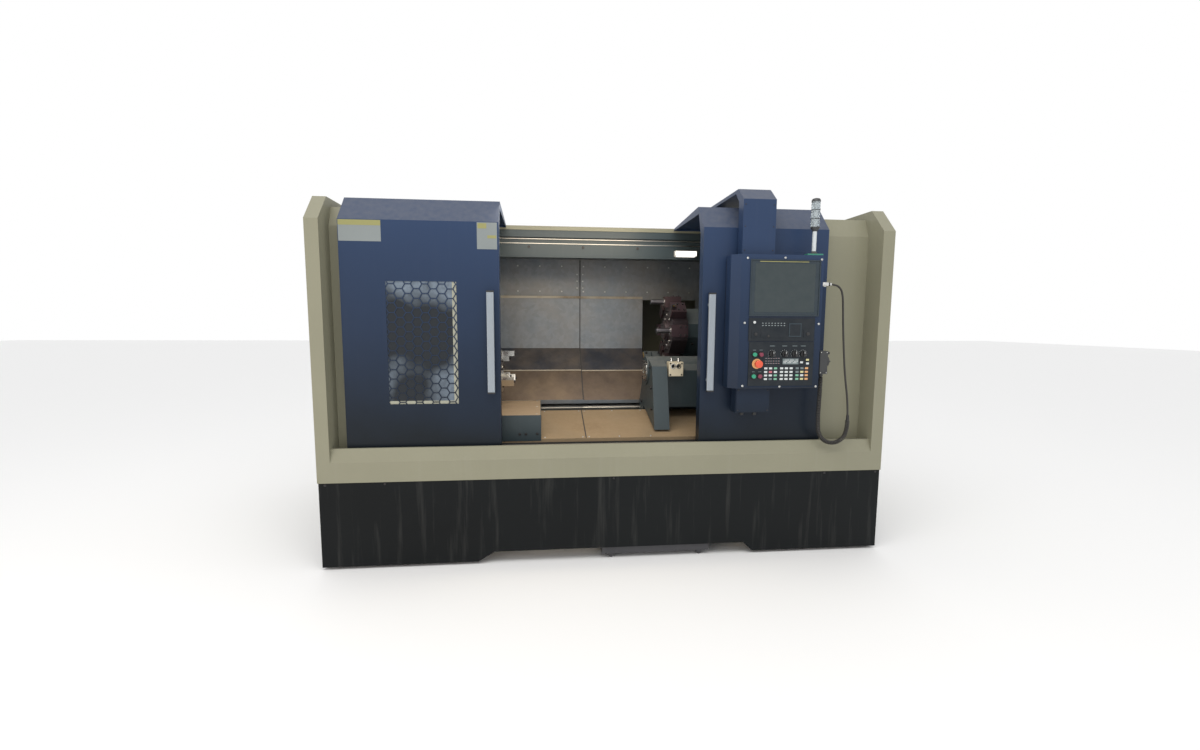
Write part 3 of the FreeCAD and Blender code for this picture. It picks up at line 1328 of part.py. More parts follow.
def push_button(x, z):
    return rod_y(x, PANEL_FACE - BUTTON_STAND, PANEL_FACE + BUTTON_DEEP, z, BUTTON_R)


def selector_knob(x, z):
    face = PANEL_FACE - KNOB_STAND
    knob = rod_y(x, face + KNOB_GRIP_T, PANEL_FACE - 0.5, z, KNOB_R)
    grip = rod_y(x, face, face + KNOB_GRIP_T + 1, z, KNOB_R - 1)
    for side in (-1, 1):
        near, far = sorted((side * KNOB_GRIP_W / 2, side * (KNOB_R + 1)))
        grip = grip.cut(block(
            x + near, x + far, face - 1, face + KNOB_GRIP_T, z - KNOB_R, z + KNOB_R
        ))
    stem = rod_y(x, PANEL_FACE - 1, PANEL_FACE + BUTTON_DEEP, z, KNOB_STEM_R)
    return join([knob, grip, stem])


def emergency_stop():
    x, z = STOP_PLACE
    face = PANEL_FACE - STOP_STAND
    head = rod_y(x, face, face + STOP_HEAD_T, z, STOP_R)
    front = [e for e in head.Edges if e.BoundBox.YMax < face + 1]
    head = head.makeFillet(STOP_FILLET, front)
    cone = Part.makeCone(STOP_R - 2, STOP_STEM_R, STOP_CONE_H, V(x, face + STOP_HEAD_T - 1, z), V(0, 1, 0))
    stem = rod_y(x, face + STOP_HEAD_T + STOP_CONE_H - 2, PANEL_FACE + BUTTON_DEEP, z, STOP_STEM_R)
    return join([head, cone, stem])


def cable_duct():
    x0, x1 = DUCT_LEFT, DUCT_LEFT + DUCT_W
    knee = WING_TOP + DUCT_KNEE_RISE
    top = WING_TOP + DUCT_RIDGE_RISE
    y0, y1 = DUCT_LEG_Y
    path = [
        (DUCT_FRONT, CONSOLE_TOP), (DUCT_FRONT, knee), (DUCT_RIDGE_Y, top), (y1, top), (y1, REAR_ROOF),
        (y0, REAR_ROOF), (y0, top - DUCT_ARM_H), (CONSOLE_BACK + DUCT_THROAT, top - DUCT_ARM_H),
        (CONSOLE_BACK, top - DUCT_ARM_H - DUCT_THROAT), (CONSOLE_BACK, CONSOLE_TOP),
    ]
    duct = prism_x(path, x0, x1)
    hollow = offset_path(path, SHEET)
    for index, level in ((0, CONSOLE_TOP), (4, REAR_ROOF), (5, REAR_ROOF), (9, CONSOLE_TOP)):
        hollow[index] = (hollow[index][0], level - 1)
    return duct.cut(prism_x(hollow, x0 + SHEET, x1 - SHEET))


def junction_box():
    return block(
        CONSOLE_LEFT + BOX_X[0], CONSOLE_LEFT + BOX_X[1], CONSOLE_FRONT + BOX_FRONT, CONSOLE_BACK - BOX_BACK,
        CONSOLE_BOTTOM - BOX_H, CONSOLE_BOTTOM,
    )


def signal_lamp():
    x = CONSOLE_RIGHT - LAMP_INSET
    y = CONSOLE_FRONT + LAMP_SET
    z = CONSOLE_TOP
    width, depth, height = LAMP_BASE
    base = block(x - width / 2, x + width / 2, y - depth / 2, y + depth / 2, z, z + height)
    cup_z = z + LAMP_POLE_TOP
    lens_z = cup_z + LAMP_CUP_H
    cap_z = lens_z + LAMP_LENS_H
    pole = rod_z(x, y, z + height - 1, cup_z, LAMP_POLE_R)
    cup = Part.makeCone(LAMP_POLE_R, LAMP_R, LAMP_CUP_H, V(x, y, cup_z), V(0, 0, 1))
    lens = rod_z(x, y, lens_z, cap_z, LAMP_R)
    cap = rod_z(x, y, cap_z, cap_z + LAMP_CAP_H, LAMP_CAP_R)
    return join([base, pole, cup, lens, cap])


def work_light():
    x0 = OPENING_RIGHT - LIGHT_GAP
    z0 = BEAM_BOTTOM + LIGHT_RISE
    front, back = LIGHT_Y
    body = block(x0, x0 + LIGHT_W, BEAM_Y - front, BEAM_Y - back, z0, z0 + LIGHT_H)
    arm = block(
        x0 + LIGHT_ARM_X[0], x0 + LIGHT_ARM_X[1], BEAM_Y - back - 1, BEAM_Y,
        z0 + LIGHT_ARM_Z[0], z0 + LIGHT_ARM_Z[1],
    )
    return join([body, arm])


# ---------------------------------------------------------------- pendant and its cord
def cable_gland():
    x = CONSOLE_RIGHT
    corners = [polar(GLAND_NUT_R, math.radians(60 * k)) for k in range(6)]
    nut = prism_x([(GLAND_Y + a, GLAND_Z + b) for a, b in corners], x, x + GLAND_NUT_T)
    neck = rod_x(x + GLAND_NUT_T - 1, x + GLAND_NECK_L, GLAND_Y, GLAND_Z, GLAND_NECK_R)
    sleeve = rod_x(x + GLAND_NECK_L - 1, GLAND_END, GLAND_Y, GLAND_Z, GLAND_SLEEVE_R)
    return join([nut, neck, sleeve])


GLAND_END = CONSOLE_RIGHT + GLAND_L
PENDANT_LEFT = CONSOLE_RIGHT + PENDANT_OFF
PENDANT_RIGHT = PENDANT_LEFT + PENDANT_T
WHEEL_Z = PENDANT_Z + WHEEL_RISE
COIL_TOP = (GLAND_END + 127.0, -24.0, GLAND_Z - 720.0)
COIL_END = (PENDANT_LEFT + 26.0, PENDANT_Y, PENDANT_Z - 15.0)
CABLE_ROUTE = [
    (GLAND_END, GLAND_Y, GLAND_Z),
    (GLAND_END + 32, GLAND_Y, GLAND_Z - 3),
    (GLAND_END + 58, GLAND_Y - 1, GLAND_Z - 24),
    (GLAND_END + 68, GLAND_Y - 2, GLAND_Z - 60),
    (GLAND_END + 72, GLAND_Y - 3, GLAND_Z - 110),
    (GLAND_END + 76, GLAND_Y - 5, GLAND_Z - 202),
    (GLAND_END + 86, GLAND_Y - 8, GLAND_Z - 342),
    (GLAND_END + 100, GLAND_Y - 10, GLAND_Z - 487),
    (GLAND_END + 125, GLAND_Y - 11, GLAND_Z - 632),
    COIL_TOP,
]
COIL_ROUTE = [
    COIL_TOP,
    (COIL_TOP[0], COIL_TOP[1] - 1, COIL_TOP[2] - 82),
    (COIL_TOP[0] - 48, COIL_TOP[1] - 1, COIL_TOP[2] - 130),
    (COIL_TOP[0] - 116, COIL_TOP[1], COIL_TOP[2] - 130),
    (COIL_TOP[0] - 164, COIL_TOP[1] + 1, COIL_TOP[2] - 82),
    (COIL_END[0] - 4, COIL_END[1] - 1, COIL_TOP[2] + 8),
    (COIL_END[0] - 2, COIL_END[1] - 1, COIL_TOP[2] + 98),
    (COIL_END[0], COIL_END[1], COIL_TOP[2] + 173),
    COIL_END,
]


def cord(name, route, diameter):
    """A round cord along straight runs joined by tangent arcs."""
    points = [V(*p) for p in route]
    edges = []
    radii = []
    start = points[0]
    for index in range(1, len(points) - 1):
        back = points[index - 1] - points[index]
        ahead = points[index + 1] - points[index]
        half_turn = (math.pi - back.getAngle(ahead)) / 2
        reach = 0.45 * min(back.Length, ahead.Length)
        radii.append(reach / math.tan(half_turn))
        back.normalize()
        ahead.normalize()
        a = points[index] + back * reach
        b = points[index] + ahead * reach
        inward = (back + ahead).normalize()
        centre_off = radii[-1] / math.cos(half_turn)
        middle = points[index] + inward * (centre_off - radii[-1])
        edges.append(Part.makeLine(start, a))
        edges.append(Part.Arc(a, middle, b).toShape())
        start = b
    edges.append(Part.makeLine(start, points[-1]))
    wire = Part.Wire(edges)
    ring = Part.Wire(Part.makeCircle(diameter / 2, points[0], points[1] - points[0]))
    solid = wire.makePipeShell([ring], True, True)
    section = math.pi * diameter * diameter / 4
    print(name, "smallest radius / diameter %.2f" % (min(radii) / diameter), end=" ")
    print("length %.0f" % wire.Length, "volume ratio %.4f" % (solid.Volume / (section * wire.Length)))
    return solid


def pendant_body():
    y0 = PENDANT_Y - PENDANT_W / 2
    box = block(
        PENDANT_LEFT, PENDANT_RIGHT, y0, y0 + PENDANT_W, PENDANT_Z, PENDANT_Z + PENDANT_H
    )
    upright = [e for e in box.Edges if abs(e.tangentAt(e.FirstParameter).z) > 0.9]
    box = box.makeFillet(PENDANT_FILLET, upright)
    bracket = block(CONSOLE_RIGHT, PENDANT_LEFT, PENDANT_Y - 14, PENDANT_Y + 14, WHEEL_Z + 10, WHEEL_Z + 40)
    relief = rod_z(COIL_END[0], COIL_END[1], COIL_END[2], PENDANT_Z + 1, COIL_D / 2 - 2)
    body = join([box, bracket, relief])
    return body.cut(rod_x(
        PENDANT_RIGHT - AXLE_DEEP, PENDANT_RIGHT + 1, PENDANT_Y, WHEEL_Z, KNOB_STEM_R + STEM_CLEAR
    ))


def pendant_handwheel():
    x = PENDANT_RIGHT + WHEEL_GAP
    face = x + WHEEL_T
    wheel = rod_x(x, face, PENDANT_Y, WHEEL_Z, WHEEL_FACE_R)
    wheel = wheel.cut(rod_x(face - WHEEL_DISH, face + 1, PENDANT_Y, WHEEL_Z, WHEEL_FACE_R - WHEEL_RIM))
    crank = rod_x(face - WHEEL_DISH - 1, face + CRANK_L, PENDANT_Y - CRANK_OFF, WHEEL_Z, CRANK_R)
    axle = rod_x(PENDANT_RIGHT - AXLE_DEEP + 1, x + 1, PENDANT_Y, WHEEL_Z, KNOB_STEM_R)
    return join([wheel, crank, axle])


# ---------------------------------------------------------------- the parts
save("skirt_panels", *skirt_panels())
save("levelling_feet", *levelling_feet())
save("bed_casting", bed_casting())
save("z_guideways", *z_guideways())
save("coolant_tank", coolant_tank())
save("end_covers", *end_covers())
save("front_sill", front_sill())
save("lower_rail", lower_rail())
save("front_panels", *front_panels())
save("roof_panels", *roof_panels())
save("rail_beam", rail_beam())
save("rear_cover", rear_cover())
save("chamber_lining", *chamber_lining())
save("fixed_way_cover", fixed_way_cover())
save("sliding_way_covers", *sliding_way_covers())
save("chip_chute", *chip_chute())
save("chuck_guard", chuck_guard())
save("left_door_shell", left_door_shell())
save("left_door_pane", left_door_pane())
save("left_door_handle", door_handle(LEFT_DOOR_END - HANDLE_EDGE - HANDLE_W))
save("right_door_shell", door_shell(RIGHT_DOOR_X, RIGHT_DOOR_END))
save("right_door_handle", door_handle(RIGHT_DOOR_X + HANDLE_EDGE))
save("headstock_casting", headstock_casting())
save("spindle_shaft", spindle_shaft())
save("chuck_body", chuck_body())
for number, angle in enumerate(JAW_ANGLES, 1):
    save("chuck_jaw_%d" % number, chuck_jaw(angle))
save("spindle_motor", spindle_motor())
save("motor_pulley", motor_pulley())
save("drive_belt", drive_belt())
save("carriage_casting", carriage_casting())
save("cross_slide", cross_slide())
save("turret_disc", turret_disc())
save("tool_blocks", *tool_blocks())
save("cutting_tools", *cutting_tools())
save("tailstock_casting", tailstock_casting())
save("tailstock_manifold", tailstock_manifold())
save("tailstock_quill", tailstock_quill())
save("console_housing", console_housing())
save("display_unit", display_unit())
save("operator_panel", *operator_panel())
save("cable_duct", cable_duct())
save("junction_box", junction_box())
save("signal_lamp", signal_lamp())
save("work_light", work_light())
save("emergency_stop", emergency_stop())
for number, place in enumerate(BUTTON_PLACES, 1):
    save("push_button_%d" % number, push_button(*place))
for number, place in enumerate(KNOB_PLACES, 1):
    save("selector_knob_%d" % number, selector_knob(*place))
save("cable_gland", cable_gland())
save("pendant_cord", cord("pendant_cord", CABLE_ROUTE, CABLE_D))
save("pendant_coil", cord("pendant_coil", COIL_ROUTE, COIL_D))
save("pendant_body", pendant_body())
save("pendant_handwheel", pendant_handwheel())
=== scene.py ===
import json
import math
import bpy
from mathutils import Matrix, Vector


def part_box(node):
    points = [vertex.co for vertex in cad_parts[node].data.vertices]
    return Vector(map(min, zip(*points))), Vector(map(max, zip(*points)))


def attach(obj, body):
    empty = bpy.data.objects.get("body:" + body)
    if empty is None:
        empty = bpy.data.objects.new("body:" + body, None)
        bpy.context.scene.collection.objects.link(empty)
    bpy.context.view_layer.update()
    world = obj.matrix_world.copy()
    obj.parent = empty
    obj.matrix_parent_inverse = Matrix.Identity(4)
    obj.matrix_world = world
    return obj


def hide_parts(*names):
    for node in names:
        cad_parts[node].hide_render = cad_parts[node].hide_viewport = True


bl_info = {
    "name": "Turning Lathe Finish",
    "version": (1, 0, 0),
    "blender": (4, 5, 0),
    "location": "3D View > Sidebar > Lathe",
    "description": "Finishes, fittings, cords and stage for an enclosed turning lathe",
    "category": "Add Mesh",
}

import bmesh
import bpy
from bpy.props import FloatProperty, FloatVectorProperty, IntProperty, PointerProperty
from mathutils import Quaternion, Vector

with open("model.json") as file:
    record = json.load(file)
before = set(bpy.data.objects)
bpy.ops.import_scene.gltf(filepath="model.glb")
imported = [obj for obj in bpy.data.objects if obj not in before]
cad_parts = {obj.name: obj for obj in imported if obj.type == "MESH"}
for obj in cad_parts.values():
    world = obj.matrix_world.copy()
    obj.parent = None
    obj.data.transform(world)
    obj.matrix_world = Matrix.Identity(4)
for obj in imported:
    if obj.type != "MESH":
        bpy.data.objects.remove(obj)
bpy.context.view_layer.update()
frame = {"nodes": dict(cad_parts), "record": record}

# Places below are in millimetres from the middle of the length, the guard's
# front face and the floor. The frame's own middle lies MIDDLE_Y behind that face.
MM = 0.001
MIDDLE_Y = 760.0
SHARP_ANGLE = math.radians(32)
OUTWARD = Vector((0, -1, 0))
RIGHTWARD = Vector((1, 0, 0))
UPWARD = Vector((0, 0, 1))


def at(x, y, z):
    """A place in millimetres turned into the frame's metres."""
    return Vector((x, y - MIDDLE_Y, z)) * MM


def span(node):
    """Lowest and highest corner of a frame node, in millimetres."""
    low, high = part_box(node)
    shift = Vector((0, MIDDLE_Y, 0))
    return Vector(low) / MM + shift, Vector(high) / MM + shift


def settings():
    return bpy.context.scene.lathe_sizes


# ---------------------------------------------------------------- shader groups
SURFACE_OUTPUTS = {"Colour": "NodeSocketColor", "Roughness": "NodeSocketFloat", "Normal": "NodeSocketVector"}
DUST_COLOUR = (0.36, 0.34, 0.30, 1)
STREAK_COLOUR = (0.42, 0.41, 0.38, 1)
RUBBED_COLOUR = (0.34, 0.33, 0.31, 1)
SHADE_BOTTOM = 0.62
SHADE_TOP = 1.75


def socket_type(value):
    if isinstance(value, float):
        return "NodeSocketFloat"
    return "NodeSocketColor" if len(value) == 4 else "NodeSocketVector"


def shader_group(name, inputs):
    """A new group with those inputs and a surface's outputs, its input sockets and the object's place."""
    tree = bpy.data.node_groups.new(name, "ShaderNodeTree")
    for label, value in inputs.items():
        socket = tree.interface.new_socket(label, in_out="INPUT", socket_type=socket_type(value))
        socket.default_value = value
    for label, kind in SURFACE_OUTPUTS.items():
        tree.interface.new_socket(label, in_out="OUTPUT", socket_type=kind)
    place = add_node(tree, "TexCoord").outputs["Object"]
    return tree, tree.nodes.new("NodeGroupInput").outputs, place


def put_out(tree, colour, rough, height, depth, distance):
    """Ends a group: its colour, its roughness, and a bump of that height as its normal."""
    bump = add_node(tree, "Bump", {"Strength": depth, "Distance": distance, "Height": height})
    end = tree.nodes.new("NodeGroupOutput")
    for label, source in (("Colour", colour), ("Roughness", rough), ("Normal", bump.outputs[0])):
        tree.links.new(source, end.inputs[label])
    return tree


def add_node(tree, kind, links=None, **settings):
    made = tree.nodes.new("ShaderNode" + kind)
    for key, value in settings.items():
        setattr(made, key, value)
    for socket, source in (links or {}).items():
        if isinstance(source, bpy.types.NodeSocket):
            tree.links.new(source, made.inputs[socket])
        else:
            made.inputs[socket].default_value = source
    return made


def math_node(tree, operation, first, second, clamp=False):
    made = add_node(tree, "Math", {0: first, 1: second}, operation=operation, use_clamp=clamp)
    return made.outputs[0]


def multiply(tree, first, second):
    return math_node(tree, "MULTIPLY", first, second)


def add(tree, first, second, clamp=False):
    return math_node(tree, "ADD", first, second, clamp)


def swing(tree, value, middle, change):
    """How far the value lies from a middle, times the change wanted."""
    return multiply(tree, math_node(tree, "SUBTRACT", value, middle), change)


def mix_colour(tree, share, first, second, blend="MIX"):
    made = add_node(tree, "Mix", {0: share, 6: first, 7: second}, data_type="RGBA", blend_type=blend)
    return made.outputs[2]


def tinted(tree, colour, tone, share=1.0):
    """The colour made lighter or darker by a tone near one."""
    grey = add_node(tree, "CombineColor", {0: tone, 1: tone, 2: tone}).outputs[0]
    return mix_colour(tree, share, colour, grey, "MULTIPLY")


def noise(tree, place, scale, detail=3.0, roughness=0.5):
    made = add_node(
        tree, "TexNoise", {"Vector": place, "Scale": scale, "Detail": detail, "Roughness": roughness}
    )
    return made.outputs["Fac"]


def stretched(tree, place, ways):
    """The place scaled along each axis, so that a pattern runs long along the smallest."""
    return add_node(tree, "VectorMath", {0: place, 1: ways}, operation="MULTIPLY").outputs[0]


def stretch_range(tree, value, low, high):
    made = add_node(tree, "MapRange", {"Value": value, "From Min": low, "From Max": high})
    return made.outputs["Result"]


def upward_part(tree, output):
    """The Z part of the surface's Normal or Position."""
    source = add_node(tree, "NewGeometry").outputs[output]
    return add_node(tree, "SeparateXYZ", {0: source}).outputs["Z"]


def coated_sheet_group():
    """Sprayed paint: slow changes of tone, orange peel, faint streaks and dust on top."""
    tree, entry, place = shader_group("Coated Sheet", {
        "Colour": (0.5, 0.5, 0.5, 1),
        "Tone Change": 0.12,
        "Cloud Scale": 1.6,
        "Roughness": 0.4,
        "Roughness Change": 0.12,
        "Peel Scale": 420.0,
        "Peel Depth": 0.06,
        "Dust": 0.2,
        "Streaks": 0.1,
        "Low Shade": 0.0,
        "Shade Colour": (0.006, 0.009, 0.011, 1),
    })
    cloud = noise(tree, place, entry["Cloud Scale"], 5.0, 0.55)
    fine = noise(tree, place, 38.0, 3.0)
    # Slow changes of tone. On the charcoal they are large and broad and paint soft sheen, a painted
    # reflection.
    tone = add(tree, 1.0, multiply(tree, swing(tree, cloud, 0.5, entry["Tone Change"]), 2.4))
    colour = tinted(tree, entry["Colour"], tone)
    streak = noise(tree, stretched(tree, place, (9.0, 9.0, 0.55)), 3.0, 4.0, 0.6)
    streak = multiply(tree, stretch_range(tree, streak, 0.55, 0.8), entry["Streaks"])
    colour = mix_colour(tree, streak, colour, mix_colour(tree, 0.5, colour, STREAK_COLOUR))
    # Painted shade: the colour darkens towards the bottom, between SHADE_TOP and SHADE_BOTTOM, in soft
    # clouds, as far as Low Shade asks.
    height = stretch_range(tree, upward_part(tree, "Position"), SHADE_BOTTOM, SHADE_TOP)
    shade = math_node(tree, "SUBTRACT", 1.0, height)
    shade = add(tree, shade, swing(tree, cloud, 0.5, 0.5), True)
    colour = mix_colour(tree, multiply(tree, shade, entry["Low Shade"]), colour, entry["Shade Colour"])
    dusty = multiply(tree, stretch_range(tree, upward_part(tree, "Normal"), 0.3, 0.95), entry["Dust"])
    dusty = multiply(tree, dusty, add(tree, fine, 0.3, True))
    colour = mix_colour(tree, dusty, colour, DUST_COLOUR)
    rough = add(tree, entry["Roughness"], swing(tree, fine, 0.45, entry["Roughness Change"]))
    peel = noise(tree, place, entry["Peel Scale"], 2.0)
    return put_out(tree, colour, add(tree, rough, dusty, True), peel, entry["Peel Depth"], 0.002)


def worked_metal_group():
    """Bare metal with a grain along one way, stains and scratches."""
    tree, entry, place = shader_group("Worked Metal", {
        "Colour": (0.5, 0.5, 0.5, 1),
        "Stain Colour": (0.3, 0.22, 0.13, 1),
        "Stain": 0.2,
        "Stain Scale": 3.0,
        "Roughness": 0.35,
        "Roughness Change": 0.2,
        "Grain Way": (2.0, 60.0, 60.0),
        "Grain Scale": 14.0,
        "Grain Depth": 0.12,
    })
    grain = noise(tree, stretched(tree, place, entry["Grain Way"]), entry["Grain Scale"], 4.0, 0.6)
    cloud = noise(tree, place, entry["Stain Scale"], 6.0, 0.62)
    spots = noise(tree, place, 55.0, 3.0, 0.6)
    stain = multiply(tree, stretch_range(tree, cloud, 0.42, 0.72), entry["Stain"])
    stain = multiply(tree, stain, add(tree, spots, 0.35, True))
    colour = tinted(tree, entry["Colour"], add(tree, 0.82, multiply(tree, grain, 0.36)))
    colour = mix_colour(tree, stain, colour, entry["Stain Colour"])
    rough = add(tree, entry["Roughness"], swing(tree, cloud, 0.45, entry["Roughness Change"]))
    return put_out(tree, colour, add(tree, rough, stain, True), grain, entry["Grain Depth"], 0.001)


def zinc_sheet_group():
    """Zinc-coated sheet: soft spangles, wipe marks and a warm haze, darker where it slopes."""
    tree, entry, place = shader_group("Zinc Sheet", {
        "Colour": (0.6, 0.6, 0.58, 1),
        "Haze Colour": (0.5, 0.36, 0.2, 1),
        "Haze": 0.25,
        "Spangle Scale": 42.0,
        "Spangle": 0.16,
        "Roughness": 0.42,
        "Slope": 0.0,
        "Slope Colour": (0.05, 0.055, 0.07, 1),
        "Foot Colour": (0.12, 0.09, 0.07, 1),
        "Foot Height": 0.93,
    })
    cell = add_node(tree, "TexVoronoi", {"Vector": place, "Scale": entry["Spangle Scale"]})
    cell_tone = add_node(tree, "SeparateColor", {0: cell.outputs["Color"]}).outputs[0]
    cloud = noise(tree, place, 2.1, 6.0, 0.6)
    wipe = noise(tree, stretched(tree, place, (3.0, 3.0, 0.7)), 4.5, 5.0, 0.65)
    tone = add(tree, swing(tree, cell_tone, 0.5, entry["Spangle"]), multiply(tree, wipe, 0.34))
    tone = add(tree, tone, 0.83)
    haze = multiply(tree, stretch_range(tree, cloud, 0.4, 0.7), entry["Haze"])
    colour = mix_colour(tree, haze, tinted(tree, entry["Colour"], tone), entry["Haze Colour"])
    # Painted shade: sloping faces take a dark blue-grey, which turns warm brown below Foot Height, as far as
    # Slope asks.
    below = math_node(tree, "LESS_THAN", upward_part(tree, "Position"), entry["Foot Height"])
    slope_shade_colour = mix_colour(tree, below, entry["Slope Colour"], entry["Foot Colour"])
    slope_shade_colour = mix_colour(tree, multiply(tree, haze, 1.2), slope_shade_colour, entry["Haze Colour"])
    slope_shade = multiply(tree, stretch_range(tree, upward_part(tree, "Normal"), 0.3, 0.5), entry["Slope"])
    colour = mix_colour(tree, slope_shade, colour, tinted(tree, slope_shade_colour, tone, 0.6))
    rough = add(tree, entry["Roughness"], swing(tree, wipe, 0.4, 0.35), True)
    return put_out(tree, colour, rough, wipe, 0.05, 0.002)


def moulded_group():
    """Moulded plastic or rubber: a fine texture, rubbed patches and a little dust."""
    tree, entry, place = shader_group("Moulded Surface", {
        "Colour": (0.1, 0.1, 0.1, 1),
        "Roughness": 0.45,
        "Texture Scale": 900.0,
        "Texture Depth": 0.15,
        "Dust": 0.1,
    })
    rub = noise(tree, place, 24.0, 4.0, 0.6)
    fine = noise(tree, place, entry["Texture Scale"], 2.0)
    dusty = multiply(tree, stretch_range(tree, upward_part(tree, "Normal"), 0.1, 0.9), entry["Dust"])
    dusty = add(tree, dusty, multiply(tree, rub, 0.06))
    colour = mix_colour(tree, dusty, entry["Colour"], RUBBED_COLOUR)
    rough = add(tree, entry["Roughness"], swing(tree, rub, 0.5, 0.25), True)
    return put_out(tree, colour, rough, fine, entry["Texture Depth"], 0.0006)


def pane_group():
    """Clear plastic in front of a dark space: broad soft glints, and a pale seal along two edges."""
    tree, entry, place = shader_group("Pane", {
        "Colour": (0.01, 0.014, 0.02, 1),
        "Glint Colour": (0.20, 0.25, 0.31, 1),
        "Seal Colour": (0.34, 0.34, 0.27, 1),
        "Seal Right": 0.0,
        "Seal Bottom": 0.0,
        "Roughness": 0.1,
    })
    cloud = noise(tree, place, 3.4, 2.0, 0.4)
    fleck = noise(tree, place, 26.0, 3.0, 0.6)
    glint = multiply(tree, stretch_range(tree, cloud, 0.44, 0.62), add(tree, fleck, 0.2))
    colour = mix_colour(tree, glint, entry["Colour"], entry["Glint Colour"])
    axes = add_node(tree, "SeparateXYZ", {0: place}).outputs
    right = math_node(tree, "GREATER_THAN", axes["X"], entry["Seal Right"])
    bottom = math_node(tree, "LESS_THAN", axes["Z"], entry["Seal Bottom"])
    colour = mix_colour(tree, math_node(tree, "MAXIMUM", right, bottom), colour, entry["Seal Colour"])
    rough = add(tree, entry["Roughness"], multiply(tree, fleck, 0.1))
    return put_out(tree, colour, rough, cloud, 0.04, 0.002)


GROUPS = {
    "pane": pane_group,
    "coated": coated_sheet_group,
    "metal": worked_metal_group,
    "zinc": zinc_sheet_group,
    "moulded": moulded_group,
}


def shader_tree(kind):
    """The group of that kind, built the first time it is asked for."""
    name = "Finish " + kind
    if name not in bpy.data.node_groups:
        GROUPS[kind]().name = name
    return bpy.data.node_groups[name]


def make_material(name, kind, values, **shader_values):
    """A material whose shader takes its varying colour, roughness and bump from one group."""
    material = bpy.data.materials.new(name)
    material.use_nodes = True
    tree = material.node_tree
    shader = tree.nodes["Principled BSDF"]
    group = tree.nodes.new("ShaderNodeGroup")
    group.node_tree = shader_tree(kind)
    for label, value in values.items():
        group.inputs[label].default_value = value
    tree.links.new(group.outputs["Colour"], shader.inputs["Base Color"])
    tree.links.new(group.outputs["Roughness"], shader.inputs["Roughness"])
    tree.links.new(group.outputs["Normal"], shader.inputs["Normal"])
    for label, value in shader_values.items():
        shader.inputs[label.replace("_", " ")].default_value = value
    material.diffuse_color = values["Colour"]
    return material


# Which way the grain of a metal runs.
LENGTHWISE = (2.0, 60.0, 60.0)
ROUND = (30.0, 30.0, 30.0)
UPRIGHT = (60.0, 60.0, 1.5)


def rgba(colour):
    return (colour[0], colour[1], colour[2], 1.0)


def coated(colour, rough, tone=0.1, dust=0.2, peel=0.06, streaks=0.08, cloud=1.6, low_shade=0.0):
    return "coated", {
        "Colour": rgba(colour), "Roughness": rough, "Tone Change": tone, "Dust": dust,
        "Peel Depth": peel, "Streaks": streaks, "Cloud Scale": cloud, "Low Shade": low_shade,
    }


def metal(colour, rough, way=LENGTHWISE, stain=0.15, depth=0.12, stain_colour=(0.20, 0.13, 0.07)):
    return "metal", {
        "Colour": rgba(colour), "Roughness": rough, "Grain Way": way, "Stain": stain,
        "Grain Depth": depth, "Stain Colour": rgba(stain_colour), "Roughness Change": 0.2,
    }


def moulded(colour, rough, depth=0.15, dust=0.06):
    return "moulded", {"Colour": rgba(colour), "Roughness": rough, "Texture Depth": depth, "Dust": dust}


KEY_FINISHES = {
    "key_white": (0.62, 0.66, 0.66),
    "key_green": (0.20, 0.46, 0.32),
    "key_red": (0.55, 0.14, 0.18),
    "key_orange": (0.68, 0.36, 0.16),
    "key_yellow": (0.62, 0.58, 0.30),
}


